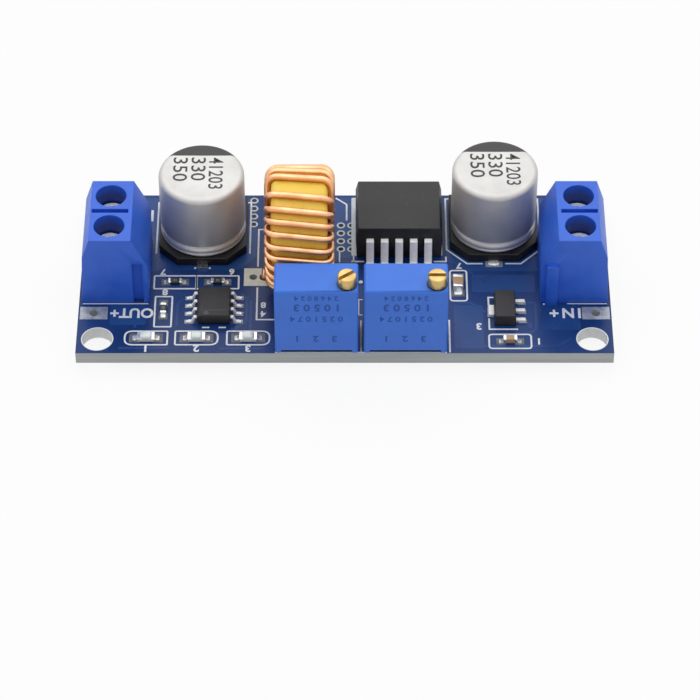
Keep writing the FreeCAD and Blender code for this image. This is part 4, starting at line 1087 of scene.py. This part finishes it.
def terminals():
    """Terminal shells, contacts, rising clamps and clamp screws, each with softened edges.

    The shells and clamps are split through the screws' middles and across the wire entries, and the screws
    through their middles.
    """
    for end in ("input", "output"):
        screw_x = middle_of(f"{end}_plus_screw")[0]
        entry_z = middle_of(f"{end}_plus_clamp")[2] - 0.2
        cuts = ((0, screw_x), (2, entry_z))
        softened(f"{end}_terminal_housing", TERMINAL_BLUE, 0.14, angle=30, cuts=cuts)
        for pole in ("plus", "minus"):
            name = f"{end}_{pole}"
            softened(f"{name}_contact", TIN, 0.05)
            softened(f"{name}_clamp", STEEL, 0.08, f"{name}_clamp", cuts=cuts)
            softened(f"{name}_screw", BRIGHT_TIN, 0.09, f"{name}_screw", cuts=cuts[:1])


# ---------------------------------------------------------------- chips and lamps

def end_pads(low, high, along_x, reach, margin=0.12):
    """Pad under each end of a part: (outline, middle of the part's end, way out) for both ends."""
    middle = (low + high) / 2
    found = []
    for way in (-1, 1):
        end = (high if way > 0 else low)[0 if along_x else 1]
        span = reach_over(end, way, 0.3, reach)
        if along_x:
            found.append((rectangle(*span, low[1] - margin, high[1] + margin), (end, middle[1]), (way, 0)))
        else:
            found.append((rectangle(low[0] - margin, high[0] + margin, *span), (middle[0], end), (0, way)))
    return found


def chip(node, coat, cap, pad_reach, text=""):
    """Chip part: a coated block, two plated ends as long as the cap, solder up both ends, and its pads."""
    low, high = corners_of(node)
    middle, size = (low + high) / 2, high - low
    axis = 0 if size[0] >= size[1] else 1
    inset = 0.02
    half = size / 2 - inset
    body = half.copy()
    body[axis] -= 0.06
    body[2] -= 0.03
    centre = np.array((middle[0], middle[1], TOP + size[2] / 2))
    parts = [(lump(centre, body, 14, 40, 12), coat)]
    for way in (-1, 1):
        offset = np.zeros(3)
        offset[axis] = way * (size[axis] - cap) / 2
        cap_half = half.copy()
        cap_half[axis] = cap / 2
        parts.append((lump(centre + offset, cap_half, 9, 36, 12), TIN))
    width = size[1 - axis]
    for outline, (x, y), way in end_pads(low, high, axis == 0, pad_reach):
        # The pad's dark grey is a painted dark reflection.
        parts.append(pad(outline, 0.08, PAD_PAINTED_REFLECTION))
        foot = (x - way[0] * 0.03, y - way[1] * 0.03)
        parts.append(mounded_solder(*foot, way, width * 0.8, pad_reach - 0.3, size[2] * 0.7))
    if text:
        degrees = 90 if axis else 180
        figure_z = TOP + size[2] - inset - 0.036
        letters = figures(text, width * 0.42, middle[0], middle[1], figure_z, degrees, 0.012)
        parts.append((letters, FIGURES_WHITE))
    piece(f"{node}_chip", parts, replaces=[node])


def lamp(name):
    """Lamp: pale carrier with silvered ends, a clear rounded lens, and solder on both pads."""
    low, high = corners_of(f"{name}_lamp_base")
    lens_low, lens_high = corners_of(f"{name}_lamp_lens")
    middle = (low + high) / 2
    carrier = rectangle(low[0] + 0.02, high[0] - 0.02, low[1] + 0.02, high[1] - 0.02)
    parts = [(prism(rounded(carrier, 0.1), TOP + 0.01, high[2] - 0.01), CARRIER)]
    for way, end in ((-1, low[0]), (1, high[0])):
        wing = rectangle(*reach_over(end, way, 0.32, -0.01), low[1] + 0.05, high[1] - 0.05)
        parts.append((prism(rounded(wing, 0.06), high[2] - 0.02, high[2] + 0.02), TIN))
    for outline, (x, y), way in end_pads(low, high, True, 0.95, 0.1):
        # The pad's dark grey is a painted dark reflection.
        parts.append(pad(outline, 0.1, PAD_PAINTED_REFLECTION))
        parts.append(mounded_solder(x - way[0] * 0.05, y, way, 0.8, 0.6, 0.34))
    piece(f"{name}_lamp", parts, replaces=[f"{name}_lamp_base"])
    half = (lens_high - lens_low) / 2
    lens_half = (half[0], half[1] - 0.02, 2 * half[2] - 0.01)
    lens = lump((middle[0], middle[1], lens_low[2]), lens_half, 3.2, 40, 16)
    piece(f"{name}_lens", [(lens, LENS)], replaces=[f"{name}_lamp_lens"])


def chips():
    """All chip parts and lamps. The front resistor's piece also stands for the solids' solder wedges."""
    for node in ("output_side_resistor", "middle_resistor", "front_resistor"):
        chip(node, GLAZE, 0.32, 0.8, "10")
    chip("shunt_resistor", GLAZE, 0.7, 0.6, "050")
    chip("trimmer_side_capacitor", CHIP_TAN, 0.42, 0.9)
    chip("front_edge_capacitor", CHIP_TAN, 0.35, 0.8)
    for name in ("left", "middle", "right"):
        lamp(name)
    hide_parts("surface_solder")


# ---------------------------------------------------------------- board: pads, small holes and copper

def wire_pads():
    """Tinned pad round each wire hole, on both faces."""
    hole = WIRE_PADS["hole_r_mm"]
    parts = []
    for sx in (-1, 1):
        for sy in (-1, 1):
            x, y = sx * WIRE_PADS["spacing_x_mm"] / 2, sy * WIRE_PADS["spacing_y_mm"] / 2
            for z0, z1 in BOTH_FACES:
                parts.append((holed_plate(x, y, 1.6, 1.0, hole, z0, z1), PAD_TIN))
    piece("wire_pads", parts)


def inductor_pads():
    """Pads beside the inductor, on both faces, each with an empty spare hole and the hole of a lead."""
    x, half = CORE_MIDDLE[0], 1.45
    spare, lead = 5.5, LEAD_SIDE
    split = (spare + lead) / 2 + 0.1
    parts = []
    for side in (-1, 1):
        end = sorted((x + side * (2 * spare - split), x + side * (spare + 1.1)))
        for z0, z1 in BOTH_FACES:
            outer = holed_plate(x + side * spare, LEAD_Y, spare - split, half, 0.45, z0, z1)
            tongue = prism(rectangle(*end, LEAD_Y - half, LEAD_Y + half), z0, z1)
            inner = holed_plate(x + side * lead, LEAD_Y, split - lead, half, 0.6, z0, z1)
            parts += [(part, PAD_CREAM) for part in (outer, tongue, inner)]
    piece("inductor_pads", parts)


def vias():
    """Small plated holes beside the output can and the regulator: a raised tinned ring, and a near-black disc
    in its middle as painted shade for the hole, which isn't cut.
    """
    corner = corners_of("output_capacitor_base")[1]
    places = [(corner[0] + 0.72, corner[1] + 0.72 - step) for step in (0.0, 1.37, 2.73, 4.08)]
    ring_x = CORE_MIDDLE[0] + 4.73
    places += [(ring_x + step, 7.9 - 1.34 * i) for i in range(4) for step in (0, 1.24)]
    ring = [(0.29, TOP), (0.31, TOP + 0.035), (0.40, TOP + 0.045), (0.49, TOP + 0.03), (0.51, TOP)]
    middle = [(0.02, TOP + 0.02), (0.32, TOP + 0.02), (0.32, TOP), (0.02, TOP)]
    parts = []
    for x, y in places:
        parts.append((revolved(ring, x, y, 28, True), PAD_TIN))
        # Painted shade: a near-black disc where the hole would be.
        parts.append((revolved(middle, x, y, 20), HOLE_SHADE_DISC))
    piece("small_plated_holes", parts)


def copper_areas():
    """Copper under the lacquer: broad areas for each supply and thin tracks between the small parts."""
    left, right = BOARD_LOW[0] + 0.5, BOARD_HIGH[0] - 0.5
    front, back = BOARD_LOW[1] + 0.5, BOARD_HIGH[1] - 0.5
    z0, z1 = TOP - SUNK, TOP + COPPER
    areas = [
        [(left, -0.3), (-23.6, -0.3), (-21.5, 0.4), (-12.3, 0.4), (-10.4, 2.6), (-10.4, back), (-26.2, back),
         (-26.2, 5.4), (left, 5.4)],
        [(-8.9, 2.4), (1.6, 2.4), (1.6, back), (-8.9, back)],
        [(12.0, 2.0), (14.6, 0.2), (22.4, 0.2), (24.0, 1.2), (right, 1.2), (right, 5.4), (26.2, 5.4),
         (26.2, back), (12.0, back)],
        [(14.8, -3.3), (22.2, -3.3), (22.2, -0.4), (14.8, -0.4)],
        [(22.8, -9.4), (27.2, -9.4), (27.2, -5.4), (right, -5.4), (right, 0.6), (23.6, 0.6), (22.8, -0.2)],
        [(-27.2, -8.6), (-23.0, -8.6), (-23.0, -0.9), (left, -0.9), (left, -5.4), (-27.2, -5.4)],
        [(12.6, front + 0.2), (16.0, front + 0.2), (16.0, -5.4), (12.6, -5.4)],
    ]
    parts = [(prism(rounded(area, 0.35), z0, z1), COPPER_LACQUER) for area in areas]
    tracks = [
        [(-18.6, -3.4), (-18.6, -4.4), (-19.4, -5.2), (-19.4, -8.8)],
        [(-12.0, -3.6), (-11.4, -4.2), (-11.4, -8.2), (-12.6, -9.2)],
        [(-10.9, -4.6), (-10.9, -9.6), (-9.0, -11.6), (-8.2, -11.6)],
        [(-24.2, -9.0), (-24.2, -8.2), (-23.4, -7.4), (-22.6, -7.4)],
        [(13.2, -5.0), (14.6, -5.0), (16.3, -6.5)],
        [(20.9, -5.0), (22.1, -5.0), (22.1, -9.2), (20.9, -10.4)],
        [(20.9, -8.1), (21.4, -8.6), (21.4, -9.2)],
        [(13.3, 0.7), (15.0, -0.2)],
        [(14.6, -12.0), (24.4, -12.0), (26.0, -10.8)],
        [(-20.1, -12.3), (-26.0, -12.3)],
        [(-14.4, -12.4), (-9.2, -12.4)],
    ]
    lines = [ribbon(rounded(track, 0.3, False), 0.34, z0, z1 + TRACK_RISE) for track in tracks]
    parts += [(line, COPPER_LACQUER) for line in lines]
    piece("copper_under_lacquer", parts)


def underside_copper():
    """Under the board: two broad copper areas and a few wide tracks, beneath the blue lacquer."""
    x0, x1 = BOARD_LOW[0] + 5.2, BOARD_HIGH[0] - 5.2
    front, back = BOARD_LOW[1] + 0.6, BOARD_HIGH[1] - 0.6
    z0, z1 = UNDER - COPPER, UNDER + SUNK
    areas = [
        [(x0, 0.6), (-3.0, 0.6), (-3.0, 6.0), (x1, 6.0), (x1, back), (x0, back)],
        rectangle(x0, x1, front, -9.2),
    ]
    parts = [(prism(rounded(area, 0.5), z0, z1), COPPER_LACQUER) for area in areas]
    tracks = [
        [(-21.0, -2.5), (-18.5, -5.0), (-6.0, -5.0), (-4.0, -7.0), (8.0, -7.0)],
        [(21.0, -2.5), (18.0, -5.5), (11.0, -5.5), (9.5, -7.0)],
        [(21.0, 2.5), (16.0, 2.5), (13.5, 0.0), (2.0, 0.0)],
    ]
    lines = [ribbon(rounded(track, 0.8, False), 1.2, z0 - TRACK_RISE, z1) for track in tracks]
    parts += [(line, COPPER_LACQUER) for line in lines]
    piece("underside_copper", parts)


# ---------------------------------------------------------------- board: white print

# Box round each chip: how far it stands off (left, right, front, back), and its corners' radius.
CHIP_BOXES = {
    "output_side_resistor": ((1.65, 1.65, 0.66, 0.66), 0.1),
    "middle_resistor": ((1.65, 1.65, 0.66, 0.66), 0.1),
    "front_resistor": ((0.58, 0.58, 1.95, 1.35), 0.1),
    "trimmer_side_capacitor": ((0.3, 0.4, 1.6, 1.4), 0.4),
    "front_edge_capacitor": ((1.62, 1.62, 0.72, 0.72), 0.4),
}

# Number beside each chip, and its offset from the chip's middle.
CHIP_NUMBERS = {
    "output_side_resistor": ("7", -1.5, 1.72),
    "middle_resistor": ("6", 1.6, 1.72),
    "front_resistor": ("8", 0.1, 2.85),
    "trimmer_side_capacitor": ("7", 0.15, 3.2),
    "front_edge_capacitor": ("1", 3.3, 0.0),
}

# Radius of a lamp's box at its left and right corners.
LAMP_BOXES = {"left": (0.9, 0.15), "middle": (0.15, 0.9), "right": (0.15, 0.9)}

# Each terminal's word: its letters, its width, the gap between letters, its middle, and where the line in
# front of the terminal starts.
TERMINAL_WORDS = {
    "output": ("OUT+", 5.0, 1.0, -24.65, 0.1),
    "input": ("IN+", 3.6, 1.3, 25.5, 3.1),
}


def around_node(node, left, right, front, back):
    """Rectangle that stands off a solid by four distances."""
    low, high = corners_of(node)
    return rectangle(low[0] - left, high[0] + right, low[1] - front, high[1] + back)


def chip_and_lamp_print():
    """White boxes round the chips and lamps, each with a plain number."""
    parts = []
    for node, (off, radius) in CHIP_BOXES.items():
        parts.append(printed(rounded(around_node(node, *off), radius)))
    for name, (left, right) in LAMP_BOXES.items():
        outline = around_node(f"{name}_lamp_base", 1.45, 1.45, 0.46, 0.46)
        parts.append(printed(rounded(outline, (left, right, right, left))))
    for number, name in enumerate(LAMP_BOXES, 1):
        x, y = middle_of(f"{name}_lamp_base")[:2]
        parts.append(printed_number(str(number), x, y - 1.68))
    for node, (text, dx, dy) in CHIP_NUMBERS.items():
        x, y = middle_of(node)[:2]
        parts.append(printed_number(text, x + dx, y + dy, 1.0))
    piece("chip_outlines", parts)


def amplifier_marks():
    """Two short lines in front of the amplifier."""
    low = corners_of("amplifier_body")[0]
    y = low[1] - 0.38
    return [printed([(x - 0.42, y), (x + 0.42, y)], False) for x in (low[0] + 1.05, low[0] + 2.95)]


def reference_marks():
    """Lines round the reference regulator's outer corners, and its number."""
    low, high = corners_of("reference_body")
    x, y = low[0] - 0.6, low[1] - 0.55
    back, middle = high[1] + 0.1, (low[1] + high[1]) / 2
    return [
        printed([(x + 0.7, back), (x, back), (x, middle + 1.05)], False),
        printed([(x, middle - 1.05), (x, y), (high[0] + 0.2, y)], False),
        printed_number("3", x - 1.2, low[1] - 0.1),
    ]


def inductor_marks():
    """Lines at three corners of the inductor's place, and two numbers."""
    left, right = CORE_MIDDLE[0] - 5.0, CORE_MIDDLE[0] + 5.4
    return [
        printed([(left + 1.1, 7.2), (left, 7.2), (left, LEAD_Y + 1.75)], False),
        printed([(left, LEAD_Y - 1.7), (left, -7.75), (left + 2.4, -7.75)], False),
        printed([(right - 1.3, 12.6), (right, 11.5), (right, 8.75)], False),
        printed_number("8", left + 0.75, -5.4, 0.95),
        printed_number("4", left + 0.75, -6.85, 0.95),
    ]


def trimmer_marks():
    """Lines in front of the two trimmers, between them and beside them, with a bracket and a dot between."""
    low, high = corners_of("left_trimmer_housing")
    right_low, right_high = corners_of("right_trimmer_housing")
    gap = (high[0] + right_low[0]) / 2
    x0, x1 = gap - 0.25, gap + 0.2
    y, side = low[1] + 0.05, right_high[0] + 0.35
    return [
        printed([(low[0], y), (right_high[0], y)], False, 0.18),
        printed([(gap, y), (gap, -7.9)], False, 0.13),
        printed([(side, y), (side, -7.8)], False),
        printed([(x1, -4.5), (x0, -4.5), (x0, -7.0), (x1, -7.0)], False, 0.13),
        printed_dot(gap, -1.6, 0.24, 24),
    ]


def regulator_marks():
    """Lines at the regulator's front corners, and two short ones beside the small holes."""
    low, high = corners_of("regulator_body")
    y, right = low[1] - 0.65, high[0] + 0.45
    marks = [
        printed([(high[0] - 1.0, y), (right, y), (right, y + 0.8)], False),
        printed([(low[0] - 0.5, y), (low[0] + 1.0, y)], False),
    ]
    for x in (CORE_MIDDLE[0] + 4.57, CORE_MIDDLE[0] + 6.22):
        marks.append(printed([(x, 3.5), (x, 1.7)], False, 0.15))
    return marks


def package_print():
    """White marks round the larger parts, as one piece."""
    parts = amplifier_marks() + reference_marks() + inductor_marks() + trimmer_marks() + regulator_marks()
    piece("package_outlines", parts)


def capacitor_print():
    """White line round each can's base, open at the tabs, and a bar for the output can's minus side."""
    parts = []
    for name in ("output", "input"):
        low, high = corners_of(f"{name}_capacitor_base")
        x, off, cut, gap = (low[0] + high[0]) / 2, 0.36, 2.35, 1.32
        x0, x1, y0, y1 = low[0] - off, high[0] + off, low[1] - off, high[1] + off
        left = [(x - gap, y0), (x0 + cut, y0), (x0, y0 + cut), (x0, y1), (x - gap, y1)]
        right = [(x + gap, y0), (x1 - cut, y0), (x1, y0 + cut), (x1, y1), (x + gap, y1)]
        hidden = 2 if name == "output" else 0
        parts += [printed(side[hidden:], False) for side in (left, right)]
    low, high = corners_of("output_capacitor_base")
    x, y = low[0] - 1.08, high[1] - 1.9
    parts.append(printed([(x, y - 0.95), (x, y + 0.95)], False, 0.3))
    piece("capacitor_outlines", parts)


def terminal_print():
    """White line in front of each terminal, and the plain words for the wires' side and sign."""
    y = TERMINAL_FRONT - 0.17
    parts = []
    for end, (word, wide, gap, x, start) in TERMINAL_WORDS.items():
        low, high = corners_of(f"{end}_terminal_housing")
        parts.append(printed([(low[0] + start, y), (high[0] - 0.1, y)], False, 0.14))
        letters = figures(word, 1.6, 0, 0, TOP - SUNK, 180, PRINT, 0.03, gap)
        letters = widened(letters, wide / np.ptp(letters[0][:, 0]))
        parts.append((shifted(letters, (x, -WIRE_PADS["spacing_y_mm"] / 2, 0)), PRINT_WHITE))
    parts.append(printed_dot(corners_of("input_terminal_housing")[0][0] + 0.4, TERMINAL_FRONT - 0.23, 0.14))
    piece("terminal_words", parts)


# ---------------------------------------------------------------- board: solder joints

def regulator_joints():
    """The regulator's five lead pads, with a drop of solder on each tip, and the pad under its heat tab."""
    parts = []
    low, high = corners_of("regulator_leads")
    centre = (low[0] + high[0]) / 2
    for i in (-2, -1, 0, 1, 2):
        x = centre + i * REGULATOR_PITCH
        parts.append(pad(rectangle(x - 0.6, x + 0.6, low[1] - 0.5, low[1] + 2.3), 0))
        parts.append(solder_drop(x, low[1] + 0.05, (0.5, 0.42, 0.38), 2.4))
    low, high = corners_of("regulator_body")
    tab_back = corners_of("regulator_tab")[1][1]
    parts.append(pad(rectangle(low[0] - 0.5, high[0] + 0.05, low[1] + 0.3, tab_back + 0.35), 0.2))
    return parts


def amplifier_joints():
    """The amplifier's eight lead pads, with a drop of solder on each tip."""
    parts = []
    low, high = corners_of("amplifier_leads")
    middle = (low + high) / 2
    for i in (-1.5, -0.5, 0.5, 1.5):
        y = middle[1] + i * AMPLIFIER_PITCH
        for way, end in ((-1, low[0]), (1, high[0])):
            parts.append(pad(rectangle(*reach_over(end, way, 0.75, 0.38), y - 0.3, y + 0.3)))
            parts.append(solder_drop(end + way * 0.05, y, (0.3, 0.25, 0.2), 2.3))
    return parts


def reference_joints():
    """The reference regulator's three lead pads and the wide one opposite, with solder on each."""
    parts = []
    low, high = corners_of("reference_leads")
    middle = (low + high) / 2
    for i in (-1, 0, 1):
        y = middle[1] + i * REFERENCE_PITCH
        parts.append(pad(rectangle(high[0] - 0.8, high[0] + 0.12, y - 0.32, y + 0.32), 0))
        parts.append(solder_drop(high[0] - 0.06, y, (0.2, 0.26, 0.3), 2.4))
    parts.append(pad(rectangle(low[0] - 0.1, low[0] + 0.6, middle[1] - 0.85, middle[1] + 0.85)))
    parts.append(solder_drop(low[0] + 0.1, middle[1], (0.16, 0.6, 0.24), 3.0))
    return parts


def diode_joints():
    """The diode's two pads, with solder that climbs its leads."""
    parts = []
    low, high = corners_of("diode_leads")
    y = (low[1] + high[1]) / 2
    for way, end in ((-1, low[0]), (1, high[0])):
        parts.append(pad(rectangle(*reach_over(end, way, 1.2, 0.7), y - 1.2, y + 1.2), 0.12))
        parts.append(mounded_solder(end - way * 0.04, y, (way, 0), 1.9, 0.6, 0.5))
    return parts


def package_pads():
    """Pads and solder round the packages' leads, as one piece."""
    parts = regulator_joints() + amplifier_joints() + reference_joints() + diode_joints()
    piece("package_pads", parts)


def lead_joints():
    """Under the board: a tinned ring and a concave solder cone round every pin.

    At a share t of its height, the cone's radius is pin + (base - pin) (1 - 0.92 t^0.5).
    """
    pin_x = corners_of("input_plus_contact")[0][0] + 0.3
    joints = [(sx * pin_x, sy * TERMINAL_PITCH / 2, 0.95, 0.36) for sx in (-1, 1) for sy in (-1, 1)]
    for side in ("left", "right"):
        x, y = middle_of(f"{side}_trimmer_pins")[:2]
        joints += [(x + step * TRIMMER_PITCH, y, 0.76, 0.3) for step in (-1, 0, 1)]
    joints += [(CORE_MIDDLE[0] + side * LEAD_SIDE, LEAD_Y, 0.95, WIRE_R) for side in (-1, 1)]
    t = np.linspace(0, 1, 9)
    ring_z = UNDER - 1.4 * PAD
    parts = []
    for x, y, base, pin_r in joints:
        tall = 0.912 if base > 0.8 else 0.76
        radius = pin_r + (base - pin_r) * (1 - 0.92 * t**0.5)
        cone = np.column_stack([radius, UNDER - 0.01 - tall * t])
        cone = np.concatenate([[(0.02, UNDER)], [(base, UNDER)], cone, [(0.02, UNDER - tall - 0.02)]])
        parts.append((revolved(cone, x, y, 32), SOLDER))
        ring = [(base - 0.02, UNDER), (base + 0.3, UNDER), (base + 0.3, ring_z), (base - 0.02, ring_z)]
        parts.append((revolved(ring, x, y, 32, True), TIN))
    piece("lead_joints", parts, replaces=["lead_solder"])


def board():
    """Everything on the board that isn't a part of its own."""
    frame["nodes"]["circuit_board"].material_slots[0].material = BOARD
    copper_areas()
    underside_copper()
    wire_pads()
    inductor_pads()
    vias()
    package_pads()
    lead_joints()
    chip_and_lamp_print()
    package_print()
    capacitor_print()
    terminal_print()


# ---------------------------------------------------------------- floor, light and camera

# Lengths here are in metres, except the camera's lens and sensor, which are in millimetres.
CAMERA_AIM = Vector((0.6, -12.6, 2.8)) * MM
CAMERA_DISTANCE = 386.4 * MM
CAMERA_HEIGHT_DEG = 46.12
CAMERA_LENS = 173.5
CAMERA_SENSOR = 36.0

FLOOR_HALF = 3.0
FLOOR_LEVEL = -0.05 * MM
FLOOR_GLOW = 0.9

LIGHT_PLACE = Vector((0.0, 0.10, 0.42))
LIGHT_SIZE = 0.9
LIGHT_POWER = 2.75
SKY_LIGHT = 0.35


def seen_directly(tree):
    """1 for a camera, glossy or transmission ray, and 0 for the rays that carry light."""
    path = wired(tree, "ShaderNodeLightPath").outputs
    some = maths(tree, "MAXIMUM", path["Is Camera Ray"], path["Is Glossy Ray"])
    return maths(tree, "MAXIMUM", some, path["Is Transmission Ray"])


def floor():
    """Plain pale floor: it takes the object's shadow, and its own white keeps the background even."""
    mesh = bpy.data.meshes.new("floor")
    corners = rectangle(-FLOOR_HALF, FLOOR_HALF, -FLOOR_HALF, FLOOR_HALF)
    mesh.from_pydata([(x, y, FLOOR_LEVEL) for x, y in corners], [], [(0, 1, 2, 3)])
    material = bpy.data.materials.new("pale_floor")
    material.use_nodes = True
    tree = material.node_tree
    tree.nodes.clear()
    paint = wired(tree, "ShaderNodeBsdfDiffuse", Color=grey(0.86)).outputs[0]
    glow = wired(tree, "ShaderNodeEmission", Strength=1.0).outputs[0]
    share = maths(tree, "MULTIPLY", seen_directly(tree), FLOOR_GLOW)
    both = wired(tree, "ShaderNodeMixShader", i0=share, i1=paint, i2=glow).outputs[0]
    wired(tree, "ShaderNodeOutputMaterial", Surface=both)
    mesh.materials.append(material)
    thing = bpy.data.objects.new("floor", mesh)
    frame_scene.collection.objects.link(thing)


def sky():
    """Soft grey surround for light, which looks white from the camera and in reflections."""
    world = bpy.data.worlds.new("studio")
    world.use_nodes = True
    tree = world.node_tree
    background = tree.nodes["Background"].inputs
    plugged(tree, background["Strength"], spread(tree, seen_directly(tree), 0, 1, SKY_LIGHT, 1.0))
    plugged(tree, background["Color"], grey(1))
    frame_scene.world = world


def overhead_light():
    """Square soft light above and behind the board, which faces the board's middle."""
    light = bpy.data.lights.new("overhead", "AREA")
    light.size = LIGHT_SIZE
    light.energy = LIGHT_POWER
    thing = bpy.data.objects.new("overhead", light)
    thing.location = LIGHT_PLACE
    thing.rotation_euler = (Vector() - LIGHT_PLACE).to_track_quat("-Z", "Y").to_euler()
    frame_scene.collection.objects.link(thing)


def camera():
    """Camera in front of the board and above it, level from side to side."""
    view = bpy.data.cameras.new("view")
    view.lens = CAMERA_LENS
    view.sensor_width = CAMERA_SENSOR
    view.clip_start = 0.01
    thing = bpy.data.objects.new("view", view)
    rise = math.radians(CAMERA_HEIGHT_DEG)
    thing.location = CAMERA_AIM + CAMERA_DISTANCE * Vector((0, -math.cos(rise), math.sin(rise)))
    thing.rotation_euler = (math.pi / 2 - rise, 0, 0)
    frame_scene.collection.objects.link(thing)
    frame_scene.camera = thing


board()
terminals()
capacitor("output")
capacitor("input")
core()
winding()
regulator()
amplifier()
small_packages()
trimmer("left")
trimmer("right")
chips()
floor()
sky()
overhead_light()
camera()
frame_scene.view_settings.view_transform = "Standard"
